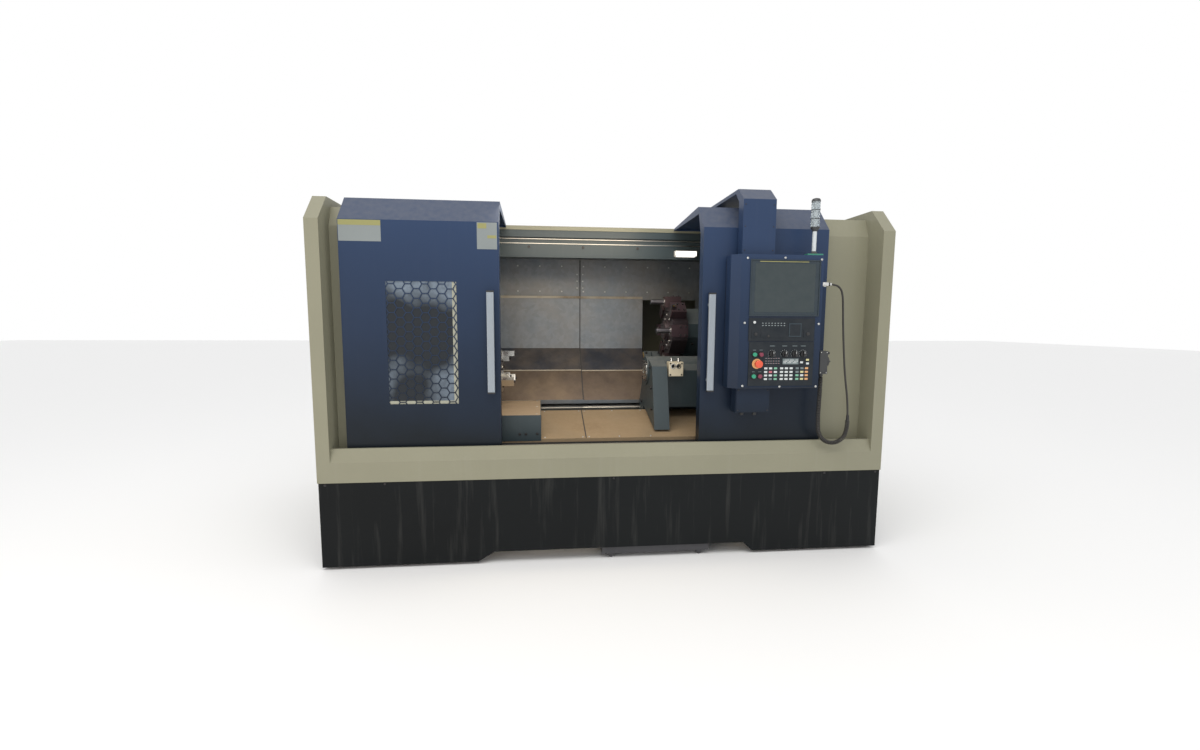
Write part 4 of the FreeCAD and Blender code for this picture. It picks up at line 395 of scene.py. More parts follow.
def finish_table(colours):
    """Every finish: the group and its values, and the shader's own fixed values."""
    steel = {"Metallic": 1.0}
    keys = {name: (*moulded(colour, 0.35, 0.02), {}) for name, colour in KEY_FINISHES.items()}
    return keys | {
        "beige_paint": (
            *coated(colours.beige, 0.42, 0.10, 0.10, streaks=0.12), {"Specular_IOR_Level": 0.35}
        ),
        # Painted reflection: the charcoal's large tone change (0.62) in broad clouds (0.75) paints soft sheen
        # patches on the semi-gloss skirt.
        "charcoal_paint": (
            *coated(colours.charcoal, 0.34, 0.62, 0.10, 0.14, 0.12, 0.75), {"Specular_IOR_Level": 0.16}
        ),
        # The blue gets painted shade, darker towards the bottom (low_shade).
        "blue_paint": (
            *coated(colours.blue, 0.34, 0.12, 0.30, 0.05, 0.02, low_shade=0.95),
            {"Specular_IOR_Level": 0.22},
        ),
        "grey_green_paint": (*coated(colours.casting, 0.42, 0.12, 0.22, 0.10, 0.05), {}),
        "bed_paint": (*coated(colours.casting, 0.55, 0.16, 0.3, 0.25), {}),
        "motor_paint": (*coated((0.05, 0.06, 0.07), 0.45), {}),
        "tank_paint": (*coated((0.045, 0.045, 0.05), 0.5, 0.3), {}),
        "cream_paint": (*coated((0.66, 0.58, 0.42), 0.4, 0.1, 0.05), {}),
        "light_body": (*coated((0.72, 0.71, 0.68), 0.35, 0.05), {}),
        "label_grey": (*coated((0.21, 0.235, 0.235), 0.42, 0.15, 0.05), {}),
        "label_yellow": (*coated((0.27, 0.26, 0.10), 0.42, 0.10, 0.05), {}),
        "galvanised_sheet": (
            "zinc", {"Colour": rgba(colours.zinc), "Haze": 0.22, "Roughness": 0.40}, {"Metallic": 0.5}
        ),
        "chute_steel": (*metal((0.42, 0.31, 0.19), 0.42, stain=0.5), {"Metallic": 0.45}),
        "guard_top": (*metal((0.50, 0.37, 0.24), 0.45, stain=0.2), {"Metallic": 0.2}),
        "seam_steel": (
            *metal((0.44, 0.40, 0.32), 0.4, stain=0.7, stain_colour=(0.22, 0.13, 0.06)), {"Metallic": 0.3}
        ),
        # The covers' sloping faces get the painted shade.
        "cover_steel": (
            "zinc", {"Colour": rgba(colours.zinc), "Haze": 0.22, "Roughness": 0.36, "Slope": 1.0},
            {"Metallic": 0.5},
        ),
        "rail_steel": (*metal((0.50, 0.49, 0.46), 0.35), steel),
        "ground_steel": (*metal((0.60, 0.585, 0.55), 0.24, ROUND, 0.08, 0.05), steel),
        "turned_steel": (*metal((0.66, 0.65, 0.62), 0.2, ROUND, 0.05, 0.05), steel),
        "dark_steel": (*metal((0.075, 0.048, 0.056), 0.40, ROUND, 0.2), {"Metallic": 0.6}),
        "tool_steel": (*metal((0.17, 0.16, 0.17), 0.34, ROUND), steel),
        "turret_steel": (*metal((0.11, 0.09, 0.10), 0.34, ROUND), {"Metallic": 0.8}),
        "carbide": (*metal((0.70, 0.52, 0.16), 0.28, ROUND, 0.0), steel),
        "brass": (*metal((0.72, 0.50, 0.20), 0.3, ROUND, 0.1), steel),
        "foot_iron": (*coated((0.07, 0.07, 0.07), 0.6, 0.3, peel=0.3), {"Metallic": 0.3}),
        "bolt_black": (*metal((0.045, 0.043, 0.045), 0.38, ROUND, 0.05), {"Metallic": 0.7}),
        "bolt_zinc": (*metal((0.62, 0.62, 0.60), 0.3, ROUND, 0.05), steel),
        "handle_aluminium": (*metal((0.36, 0.40, 0.44), 0.34, UPRIGHT, 0.02, 0.05), {"Metallic": 0.5}),
        "belt_rubber": (*moulded((0.02, 0.02, 0.02), 0.6), {}),
        "seal_rubber": (*moulded((0.012, 0.012, 0.013), 0.62), {}),
        "cable_rubber": (*moulded((0.017, 0.015, 0.013), 0.45, 0.1), {}),
        "panel_plastic": (*moulded(colours.panel, 0.42, dust=0.03), {"Specular_IOR_Level": 0.25}),
        "bezel_plastic": (*moulded((0.022, 0.036, 0.048), 0.38), {"Specular_IOR_Level": 0.3}),
        "screen_plastic": (*moulded((0.012, 0.026, 0.030), 0.12, 0.0, 0.02), {"Coat_Weight": 0.3}),
        "screen_line": (*moulded((0.30, 0.28, 0.10), 0.4), {}),
        "pendant_plastic": (*moulded((0.028, 0.030, 0.033), 0.42), {}),
        "knob_black": (*moulded((0.012, 0.012, 0.014), 0.35), {}),
        "mark_white": (*moulded((0.62, 0.64, 0.64), 0.4, 0.02), {}),
        "key_grey": (*moulded((0.16, 0.20, 0.21), 0.4, 0.02), {}),
        "stop_red": (*moulded((0.72, 0.085, 0.03), 0.28, 0.02, 0.02), {"Coat_Weight": 0.3}),
        "stop_ring": (*moulded((0.76, 0.40, 0.16), 0.4, 0.02), {}),
        "button_green": (*moulded((0.015, 0.30, 0.17), 0.25, 0.02), {"Coat_Weight": 0.3}),
        "button_maroon": (*moulded((0.20, 0.018, 0.05), 0.25, 0.02), {"Coat_Weight": 0.3}),
        "lamp_base": (*moulded((0.03, 0.22, 0.15), 0.4, 0.05), {}),
        "lamp_cap": (*moulded((0.03, 0.032, 0.035), 0.4, 0.05), {}),
        "lamp_tube": (*moulded((0.56, 0.60, 0.62), 0.3, 0.05), {}),
        "lamp_lens": (
            *moulded((0.72, 0.80, 0.84), 0.16, 0.05, 0.0), {"Transmission_Weight": 0.75, "IOR": 1.35}
        ),
        "window_glass": (
            "pane", {"Colour": (0.010, 0.014, 0.019, 1.0), "Seal Right": -0.826, "Seal Bottom": 0.862},
            {"IOR": 1.45},
        ),
        "light_glow": (
            *moulded((0.95, 0.93, 0.88), 0.3, 0.02, 0.0),
            {"Emission_Color": (1.0, 0.96, 0.88, 1.0), "Emission_Strength": 1.6},
        ),
        "gland_metal": (*metal((0.70, 0.70, 0.68), 0.2, ROUND, 0.05), steel),
    }


def finish(name):
    """The material of that finish, made the first time it is asked for."""
    label = "Lathe " + name
    if label not in bpy.data.materials:
        kind, values, shader_values = finish_table(bpy.context.scene.lathe_colours)[name]
        make_material(label, kind, values, **shader_values)
    return bpy.data.materials[label]


# ---------------------------------------------------------------- solids
class Solid:
    """Gathers the shapes of one piece in millimetres, each with its own finish."""

    def __init__(self):
        self.mesh = bmesh.new()
        self.finishes = []

    def paint(self, faces, finish_name):
        if finish_name not in self.finishes:
            self.finishes.append(finish_name)
        for face in faces:
            face.material_index = self.finishes.index(finish_name)

    def loft(self, rings, finish_name, closed=True):
        """Skins rings of points one after another and caps both ends."""
        rows = [[self.mesh.verts.new(point) for point in ring] for ring in rings]
        faces = []
        for near, far in zip(rows, rows[1:]):
            count = len(near)
            for i in range(count):
                j = (i + 1) % count
                faces.append(self.mesh.faces.new((near[i], near[j], far[j], far[i])))
        if closed:
            faces.append(self.mesh.faces.new(rows[0][::-1]))
            faces.append(self.mesh.faces.new(rows[-1]))
        else:
            for i in range(len(rows[0])):
                j = (i + 1) % len(rows[0])
                faces.append(self.mesh.faces.new((rows[-1][i], rows[-1][j], rows[0][j], rows[0][i])))
        self.paint(faces, finish_name)

    def block(self, x0, x1, y0, y1, z0, z1, finish_name):
        rings = [[(x0, y0, z), (x1, y0, z), (x1, y1, z), (x0, y1, z)] for z in (z0, z1)]
        self.loft(rings, finish_name)

    def prism(self, outline, x0, x1, finish_name):
        """An outline of (y, z) points pushed along X."""
        self.loft([[(x, y, z) for y, z in outline] for x in (x0, x1)], finish_name)

    def turned(self, base, axis, profile, finish_name, sides=24, closed=True):
        """A profile of (distance along, radius) turned round an axis that starts at base."""
        axis = Vector(axis).normalized()
        side = axis.orthogonal().normalized()
        other = axis.cross(side)
        rings = []
        for along, radius in profile:
            centre = Vector(base) + axis * along
            ring = []
            for k in range(sides):
                angle = math.tau * (k + 0.5) / sides
                ring.append(centre + (side * math.cos(angle) + other * math.sin(angle)) * radius)
            rings.append(ring)
        self.loft(rings, finish_name, closed)

    def ring(self, base, axis, inner, outer, thick, finish_name, sides=48):
        """A flat ring, open in the middle."""
        profile = [(0, inner), (0, outer), (thick, outer), (thick, inner)]
        self.turned(base, axis, profile, finish_name, sides, closed=False)

    def pan_screw(self, base, axis, radius, finish_name):
        """A low domed screw head with a recess."""
        height = radius * 0.55
        profile = [
            (0, radius), (height * 0.45, radius), (height * 0.85, radius * 0.8), (height, radius * 0.45),
            (height * 0.6, radius * 0.36), (height * 0.35, radius * 0.1),
        ]
        self.turned(base, axis, profile, finish_name, 16)

    def socket_screw(self, base, axis, radius, finish_name):
        """A cap screw with a hexagon socket."""
        height = radius * 1.1
        head = [(0, radius), (height * 0.9, radius), (height, radius * 0.9), (height, radius * 0.55)]
        socket = [(height * 0.4, radius * 0.5), (height + 0.05, radius * 0.5)]
        self.turned(base, axis, head, finish_name, 18)
        self.turned(base, axis, socket, "seal_rubber", 6)

    def hex_bolt(self, base, axis, radius, finish_name):
        """A bolt with a hexagon head on a washer."""
        self.turned(base, axis, [(0, radius * 1.25), (radius * 0.2, radius * 1.25)], finish_name, 18)
        self.turned(
            base, axis,
            [(radius * 0.2, radius * 0.96), (radius * 0.75, radius), (radius * 0.85, radius * 0.86)],
            finish_name, 6,
        )

    def piece(self, name, body, edge=0.0):
        """Turns the gathered shapes into one object in the frame, riding on a body."""
        bmesh.ops.recalc_face_normals(self.mesh, faces=self.mesh.faces)
        for vert in self.mesh.verts:
            vert.co = at(*vert.co)
        data = bpy.data.meshes.new(name)
        self.mesh.to_mesh(data)
        self.mesh.free()
        data.shade_smooth()
        data.set_sharp_from_angle(angle=SHARP_ANGLE)
        for finish_name in self.finishes:
            data.materials.append(finish(finish_name))
        made = bpy.data.objects.new(name, data)
        bpy.context.scene.collection.objects.link(made)
        if edge:
            bevel = made.modifiers.new("Eased edges", "BEVEL")
            bevel.width = edge * MM
            bevel.segments = 2
            bevel.limit_method = "ANGLE"
            bevel.angle_limit = SHARP_ANGLE
        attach(made, body)
        return made


def spread(first, last, count):
    """Evenly spaced values, both ends included."""
    return [first + (last - first) * k / (count - 1) for k in range(count)]


def rim(low, high, width):
    """The four bars of a frame inside a rectangle, as (x0, x1, z0, z1)."""
    return (
        (low.x, low.x + width, low.z, high.z), (high.x - width, high.x, low.z, high.z),
        (low.x + width, high.x - width, low.z, low.z + width),
        (low.x + width, high.x - width, high.z - width, high.z),
    )


# ---------------------------------------------------------------- pieces on the guard
SMALL_SCREW = 0.8
SKIRT_SCREW_DROP = 11
LEDGE_TOP = 601


def skirt_screws():
    """Screws along the top of the skirt, and at the corners of its end panels."""
    low, high = span("skirt_panels")
    solid = Solid()
    radius = settings().screw_radius
    top = high.z - SKIRT_SCREW_DROP
    for x in (low.x + 32, low.x + 323, 0, high.x - 323, high.x - 25):
        solid.pan_screw((x, low.y, top), OUTWARD, radius, "bolt_black")
        solid.pan_screw((x, high.y, top), -OUTWARD, radius, "bolt_black")
    for y in spread(low.y + 120, high.y - 120, 4):
        for side, face in ((-1, low.x), (1, high.x)):
            for z in (low.z + 60, top):
                solid.pan_screw((face, y, z), RIGHTWARD * side, radius, "bolt_black")
    solid.piece("skirt_screws", "machine")


def rear_fittings():
    """Two hinged covers, louvre hoods, latches and screws on the back, and seams on the roof."""
    low, high = span("rear_cover")
    back = -OUTWARD
    face = high.y
    doors = Solid()
    for x0, x1 in ((-1340, -560), (560, 1340)):
        doors.block(x0, x1, face, face + 2, 520, 1200, "beige_paint")
        for z in (600, 1120):
            doors.turned((x0 - 4, face + 4, z - 30), UPWARD, [(0, 5), (60, 5)], "bolt_zinc", 12)
        doors.turned((x1 - 40, face + 2, 860), back, [(0, 14), (3, 14), (4, 12)], "bolt_zinc", 24)
        doors.block(x1 - 43, x1 - 37, face + 5, face + 7, 848, 872, "bolt_black")
    doors.piece("rear_hatches", "machine", 0.8)
    hoods = Solid()
    for x0 in (low.x + 420, high.x - 780):
        for row in range(10):
            z = 1250 + 30 * row
            outline = [(face - 0.5, z + 16), (face - 0.5, z - 1), (face + 7, z - 1), (face + 6, z + 3)]
            hoods.prism(outline, x0 - 6, x0 + 366, "beige_paint")
    hoods.piece("louvre_hoods", "machine")
    screws = Solid()
    for z in (480, 1230, 1600, 1850):
        for x in spread(low.x + 30, high.x - 30, 8):
            screws.pan_screw((x, face, z), back, settings().screw_radius, "bolt_zinc")
    screws.piece("rear_screws", "machine")
    roof = Solid()
    roof_high = span("roof_panels")[1]
    for x in (-710, 20, 750):
        roof.block(x - 22, x + 22, 735, roof_high.y - 6, roof_high.z, roof_high.z + 2, "beige_paint")
        for y in spread(790, roof_high.y - 60, 4):
            for side in (-14, 14):
                head = (x + side, y, roof_high.z + 2)
                roof.pan_screw(head, UPWARD, settings().screw_radius * SMALL_SCREW, "bolt_zinc")
    for x in (-1250, -200, 1250):
        for y in (900, 1450):
            roof.turned((x, y, roof_high.z), UPWARD, [(0, 20), (6, 20), (8, 16), (20, 12)], "bolt_black", 20)
    roof.piece("roof_seams", "machine", 0.5)


def sill_fittings():
    """The rubber lip behind the sill's raised edge, and the seal across its ledge."""
    low, high = span("front_sill")
    solid = Solid()
    # Painted shadow: the black lip fills the top of the gap in front of the doors and stands for its shadow
    # as well as a seal.
    solid.block(low.x, high.x, 39.2, 46, LEDGE_TOP, LEDGE_TOP + 11, "seal_rubber")
    solid.block(low.x, high.x, 46, 56, LEDGE_TOP, LEDGE_TOP + 2, "seal_rubber")
    solid.piece("sill_lip_seal_and_shadow_gap", "machine", 1.0)
    drip = Solid()
    drip.block(low.x + 2, high.x - 2, 136, 139, LEDGE_TOP, LEDGE_TOP + 15, "seal_rubber")
    drip.piece("ledge_seal", "machine")


def beam_fittings():
    """Bolts on the front of the rail beam, and the two bars that the doors run on."""
    low, high = span("rail_beam")
    solid = Solid()
    z = high.z - 125
    for x in (-450, -110, 240):
        solid.hex_bolt((x, low.y, z), OUTWARD, 7, "bolt_black")
    solid.piece("beam_bolts", "machine")
    track = Solid()
    for z in (1756, 1784):
        track.block(low.x + 4, high.x - 4, low.y + 14, low.y + 20, z, z + 4, "rail_steel")
    track.piece("upper_door_track", "machine")


# ---------------------------------------------------------------- doors
# Where a door's hood starts to fall towards the back, and how steeply.
HOOD_START = 175
HOOD_FALL = 30 / 523


def door_trim(body, lead_side):
    """Edge folds, brush seals and hood screws of one sliding door."""
    low, high = span(body + "_shell")
    trim = Solid()
    for side, x in ((-1, low.x), (1, high.x)):
        inner = x - side * 6
        x0, x1 = sorted((x - side * 3.2, inner))
        trim.block(x0, x1, 100, 119, low.z + 20, 1735, "seal_rubber")
    lead = high.x if lead_side > 0 else low.x
    x0, x1 = sorted((lead - lead_side * 16, lead - lead_side * 22))
    trim.block(x0, x1, 63, 118, low.z + 10, 1742, "blue_paint")
    trim.piece(body + "_folds", body, 0.6)
    screws = Solid()
    for y in (240, 460, 660):
        z = high.z - (y - HOOD_START) * HOOD_FALL
        for x in (low.x + 22, high.x - 22):
            screws.pan_screw((x, y, z), UPWARD, settings().screw_radius * SMALL_SCREW, "bolt_black")
    screws.piece(body + "_screws", body)


def handle_trim(body):
    """Ribs down the front, end caps and washers of one pull handle."""
    low, high = span(body + "_handle")
    ribs = Solid()
    for x in spread(low.x + 5, high.x - 5, settings().handle_ribs):
        ribs.block(x - 1.3, x + 1.3, low.y - 1.2, low.y + 1, low.z + 4, high.z - 4, "handle_aluminium")
    for z0, z1 in ((low.z - 2, low.z + 6), (high.z - 6, high.z + 2)):
        ribs.block(low.x - 0.6, high.x + 0.6, low.y - 1.6, low.y + 17, z0, z1, "knob_black")
    middle = (low.x + high.x) / 2
    for z in (low.z + 60, high.z - 60):
        ribs.turned((middle, 60, z), OUTWARD, [(0, 14), (2, 14), (3.5, 12.5)], "handle_aluminium", 32)
        ribs.turned((middle, 39, z), -OUTWARD, [(0, 11), (4, 11)], "handle_aluminium", 32)
    ribs.piece(body.replace("door", "handle") + "_ribs", body, 0.5)


def door_labels():
    """Two plain plates of colour on the left door."""
    low, high = span("left_door_shell")
    face = low.y
    plates = Solid()
    plates.block(low.x + 3, low.x + 205, face - 0.6, face, 1660, 1763, "label_grey")
    plates.block(low.x + 3, low.x + 205, face - 0.9, face - 0.6, 1737, 1763, "label_yellow")
    plates.block(high.x - 108, high.x - 8, face - 0.6, face, 1631, 1763, "label_grey")
    plates.block(high.x - 104, high.x - 60, face - 0.9, face - 0.6, 1733, 1759, "label_yellow")
    plates.block(high.x - 56, high.x - 12, face - 0.9, face - 0.6, 1685, 1700, "label_yellow")
    plates.piece("left_door_plates", "left_door", 0.3)


def window_frame():
    """The rubber bead and the clamped frame that hold the pane behind the honeycomb."""
    low, high = span("left_door_pane")
    face = high.y
    width = 18
    frame_piece = Solid()
    for x0, x1, z0, z1 in rim(low, high, width):
        frame_piece.block(x0, x1, face, face + 3, z0, z1, "seal_rubber")
        frame_piece.block(x0, x1, face + 3, face + 5, z0, z1, "blue_paint")
    for z in spread(low.z + width / 2, high.z - width / 2, 5):
        for x in (low.x + width / 2, high.x - width / 2):
            frame_piece.pan_screw((x, face + 5, z), -OUTWARD, 4, "bolt_black")
    frame_piece.piece("window_frame", "left_door", 0.4)


# ---------------------------------------------------------------- chamber
WALL_FACE = 1100.0
COVER_STAND = 9.0
COVER_LIFT = 6.0
KNEE_RISE = 1086.0
SLOPE_FOOT = 765.0
FOLD_SHARE = 0.44
SLIDE_COVER = 650.0
# The chute's upper face, as front and rear edge in Y and Z.
CHUTE_FRONT = (200, 621)
CHUTE_REAR = (560, 719)


def cover_front(fixed):
    """The front of the upright part of the fixed or the sliding covers."""
    return WALL_FACE - COVER_STAND - COVER_LIFT * fixed


def cover_line(fixed, stand):
    """Knee and foot of a cover's slope, in Y and Z, with a stand-off in front of it."""
    lift = COVER_LIFT * fixed + stand
    knee = (WALL_FACE - COVER_STAND - lift, KNEE_RISE - COVER_STAND + lift * (math.sqrt(2) - 1))
    foot_y = SLOPE_FOOT - lift / math.sqrt(2)
    return knee, (foot_y, SLOPE_FOOT + KNEE_RISE - WALL_FACE + lift / math.sqrt(2))


def cover_strip():
    """Outline of a thin strip that follows the fixed cover from top to foot."""
    inner_knee, inner_foot = cover_line(1, 0.0)
    outer_knee, outer_foot = cover_line(1, 1.5)
    top = span("fixed_way_cover")[1].z
    return [
        (inner_knee[0], top), inner_knee, inner_foot, outer_foot, outer_knee, (outer_knee[0], top)
    ]


def cover_fold(fixed):
    """Outline of the raised fold that runs across the slope."""
    corners = []
    end = FOLD_SHARE + 0.02
    for stand, share in ((0.0, FOLD_SHARE), (2.5, FOLD_SHARE), (2.5, end), (0.0, end)):
        knee, foot = cover_line(fixed, stand)
        corners.append(tuple(knee[k] + (foot[k] - knee[k]) * share for k in (0, 1)))
    return corners


def chamber_fittings():
    """Seam strips, screws and wipers of the lining and the covers."""
    left = span("chamber_lining")[0].x
    top = span("fixed_way_cover")[1].z
    slide_left = span("sliding_way_covers")[0].x
    slide_right = slide_left + SLIDE_COVER
    face = WALL_FACE
    strips = Solid()
    front = cover_front(1)
    strips.block(left + 4, -101, front - 3, front, top - 14, top + 2, "seam_steel")
    strips.block(-104, -96, face - 1.5, face, top + 2, 1700, "seal_rubber")
    strips.piece("wall_seams", "machine", 0.5)
    wiper = Solid()
    # Painted shadow: this dark rubber strip at the fixed cover's edge is a wiper and also stands for the
    # shadow gap of the seam.
    wiper.prism(cover_strip(), -104, -98, "seal_rubber")
    wiper.prism(cover_fold(1), left + 4, -104, "seam_steel")
    wiper.piece("fixed_cover_wiper_and_shadow_gap", "machine")
    moving = Solid()
    front = cover_front(0)
    moving.block(-96, slide_right, front - 3, front, top - 14, top + 2, "seam_steel")
    moving.prism(cover_fold(0), slide_left, slide_right, "seam_steel")
    moving.piece("sliding_cover_fold", "carriage")
    screws = Solid()
    for x in spread(left + 70, 1000, 12):
        for z in (top + 35, 1655):
            screws.pan_screw((x, face, z), OUTWARD, 5, "bolt_zinc")
    for z in spread(top + 60, 1600, 3):
        for x in (-120, -80):
            screws.pan_screw((x, face, z), OUTWARD, 5, "bolt_zinc")
    screws.piece("wall_screws", "machine")


def chute_fittings():
    """Screws and the seam of the chute, and the top plate, bolts and screws of the chuck guard."""
    screws = Solid()
    run, rise = CHUTE_REAR[0] - CHUTE_FRONT[0], CHUTE_REAR[1] - CHUTE_FRONT[1]
    normal = Vector((0, -rise, run)).normalized()

    def chute_top(y):
        return CHUTE_FRONT[1] + (y - CHUTE_FRONT[0]) * rise / run

    for x in (-360, -148, -112, 60, 240, 600, 900):
        for y in (215, 545):
            screws.pan_screw((x, y, chute_top(y)), normal, 5, "bolt_zinc")
    seam_ends = (CHUTE_FRONT[0] + 2, CHUTE_REAR[0] - 2)
    seam = [(y, chute_top(y)) for y in seam_ends] + [(y, chute_top(y) + 1.5) for y in reversed(seam_ends)]
    screws.prism(seam, -133, -127, "seal_rubber")
    screws.piece("chute_screws", "machine")
    guard_low, guard_high = span("chuck_guard")
    marks = Solid()
    for x in (guard_high.x - 118, guard_high.x - 84, guard_high.x - 22):
        marks.hex_bolt((x, guard_low.y, guard_high.z - 105), OUTWARD, 6, "bolt_black")
    marks.block(
        guard_low.x + 30, guard_high.x - 4, guard_low.y + 4, guard_high.y - 6, guard_high.z, guard_high.z + 2,
        "guard_top",
    )
    for x in (guard_high.x - 25, guard_low.x + 60):
        for y in (230, 480, 700):
            marks.pan_screw((x, y, guard_high.z + 2), UPWARD, 5, "bolt_zinc")
    marks.piece("chuck_guard_screws", "machine")


# ---------------------------------------------------------------- spindle, turret and tailstock
# Lines along X, as their Y and Z.
SPINDLE_LINE = (520.0, 970.0)
TURRET_LINE = (764.31, 1214.24)
JAW_ANGLES = (90, 210, 330)
TOOL_STATIONS = (0, 2, 6)
BAR_STATIONS = (1, 3, 5, 7)
FIRST_STATION_ANGLE = 45


def across_from(angle):
    """The way out from a line along X at that angle, and the way round it."""
    turn = math.radians(angle)
    return Vector((0, math.cos(turn), math.sin(turn))), Vector((0, -math.sin(turn), math.cos(turn)))


def around(x, line, radius, angle):
    """A place on a circle about a line along X."""
    return Vector((x, *line)) + across_from(angle)[0] * radius


def ring_of_screws(solid, x, line, radius, angles, way, head):
    for angle in angles:
        solid.socket_screw(around(x, line, radius, angle), way, head, "bolt_black")


def spindle_trim():
    """Rings and screws of the spindle nose, the chuck and its jaws, with the jaws' gripping teeth."""
    y, z = SPINDLE_LINE
    low, high = span("chuck_body")
    face = high.x
    nose = Solid()
    nose.ring((-757, y, z), RIGHTWARD, 148, 176, 5, "grey_green_paint", 72)
    nose.ring((-778, y, z), RIGHTWARD, 120, 136, 8, "turned_steel", 72)
    ring_of_screws(nose, -752, SPINDLE_LINE, 165, [45 * k + 22 for k in range(8)], RIGHTWARD, 6)
    nose.piece("spindle_nose_ring", "machine", 0.5)
    chuck = Solid()
    chuck.ring((face - 0.5, y, z), RIGHTWARD, 38, 46, 2.5, "turned_steel", 48)
    between_jaws = [30 + 120 * k + offset for k in range(3) for offset in (-16.5, 16.5)]
    ring_of_screws(chuck, face, SPINDLE_LINE, 92, between_jaws, RIGHTWARD, 8)
    for x in (low.x + 22, face - 30, face - 58):
        chuck.ring((x, y, z), RIGHTWARD, 125, 127.25, 3, "dark_steel", 96)
    chuck.piece("chuck_rings", "spindle", 0.4)
    for number, angle in enumerate(JAW_ANGLES, 1):
        jaw = Solid()
        across = across_from(angle)[1]
        jaw_face = span("chuck_jaw_%d" % number)[1].x
        jaw.socket_screw(around(face + 40, SPINDLE_LINE, 76, angle), RIGHTWARD, 8, "bolt_black")
        jaw.socket_screw(around(jaw_face, SPINDLE_LINE, 106, angle), RIGHTWARD, 8, "bolt_black")
        for k in range(5):
            for side in (-22, 22):
                base = around(face + 6, SPINDLE_LINE, 98 + 5 * k, angle) + across * side
                jaw.turned(base, RIGHTWARD, [(0, 0.9), (28, 0.9)], "dark_steel", 8)
        jaw.piece("jaw_%d_screws" % number, "jaw_%d" % number)


def turret_trim():
    """The turret's cap, the screws and nozzles of its holders, and the cutting tips."""
    disc_face = 455
    cap_face = span("turret_disc")[0].x
    disc = Solid()
    cap_profile = [(0, 62), (10, 62), (16, 54), (18, 20)]
    disc.turned((cap_face, *TURRET_LINE), -RIGHTWARD, cap_profile, "turret_steel", 48)
    ring_of_screws(disc, cap_face - 15, TURRET_LINE, 40, range(0, 360, 60), -RIGHTWARD, 6)
    for angle in range(0, 360, 45):
        ring_of_screws(disc, disc_face, TURRET_LINE, 128, (angle - 9, angle + 9), -RIGHTWARD, 7)
        pin = around(disc_face, TURRET_LINE, 100, angle)
        disc.turned(pin, -RIGHTWARD, [(0, 11), (4, 11), (6, 8)], "turned_steel", 24)
    disc.piece("turret_cap", "turret", 0.5)
    tools = Solid()
    for station in sorted(TOOL_STATIONS + BAR_STATIONS):
        angle = FIRST_STATION_ANGLE + 45 * station
        outward, across = across_from(angle)
        turning = station in TOOL_STATIONS
        top = 212 if turning else 220
        for x in (488, 522):
            for side in (-26, 26):
                base = around(x, TURRET_LINE, top, angle) + across * side
                tools.socket_screw(base, outward, 6.5, "bolt_black")
        if turning:
            for k in range(3):
                base = around(456, TURRET_LINE, 162 + 19 * k, angle) + across * 40.8
                tools.hex_bolt(base, across, 5, "bolt_black")
            nozzle = around(470, TURRET_LINE, top, angle)
            tools.turned(nozzle, outward, [(0, 7), (8, 7), (12, 4), (20, 3)], "brass", 16)
        else:
            ring_base = around(432, TURRET_LINE, 185, angle)
            tools.ring(ring_base, -RIGHTWARD, 16.3, 24, 4, "turned_steel", 32)
    tools.piece("holder_screws", "turret", 0.3)
    tips = Solid()
    for station in TOOL_STATIONS:
        angle = FIRST_STATION_ANGLE + 45 * station
        across = across_from(angle)[1]
        base = around(452, TURRET_LINE, 243, angle) + across * 22.8
        tips.turned(base, across, [(0, 6), (3, 6.6)], "carbide", 4)
        tips.turned(base + across * 3, across, [(0, 2), (1, 1.8)], "bolt_black", 12)
    tips.piece("tool_tips", "turret")


SLOPE_UP = Vector((0, 1, 1)).normalized()
SLOPE_OUT = Vector((0, -1, 1)).normalized()


def on_slope(x, up, out):
    """A place measured up the slides' slope and out from it."""
    return RIGHTWARD * x + SLOPE_UP * up + SLOPE_OUT * out


def slope_outline(*places):
    """Places up and out on the slope as an outline in Y and Z."""
    return [tuple(on_slope(0, up, out).yz) for up, out in places]


def slide_trim():
    """Wipers and screws of the carriage and the cross slide."""
    wipers = Solid()
    outline = slope_outline((1088, 12), (1088, 19), (1470, 19), (1470, 12))
    for x0, x1 in ((345, 352), (740, 747)):
        wipers.prism(outline, x0, x1, "brass")
    for up in spread(1100, 1460, 5):
        for x in (368, 724):
            wipers.socket_screw(on_slope(x, up, 20), SLOPE_OUT, 8, "bolt_black")
    wipers.piece("carriage_wipers", "carriage", 0.4)
    cover = Solid()
    outline = slope_outline((1300, 130), (1300, 400), (1500, 400), (1500, 150))
    cover.prism(outline, 700, 703, "beige_paint")
    for up in (1315, 1485):
        for out in (165, 270, 385):
            cover.pan_screw(on_slope(703, up, out), RIGHTWARD, 5, "bolt_black")
    for x in (430, 560, 670):
        for up in (1200, 1250):
            cover.socket_screw(on_slope(x, up, 60), SLOPE_OUT, 8, "bolt_black")
    for x in (600, 655):
        for out in (120, 330):
            cover.socket_screw(on_slope(x, 1269, out), -SLOPE_UP, 8, "bolt_black")
    cover.piece("cross_slide_covers", "turret_slide", 0.5)


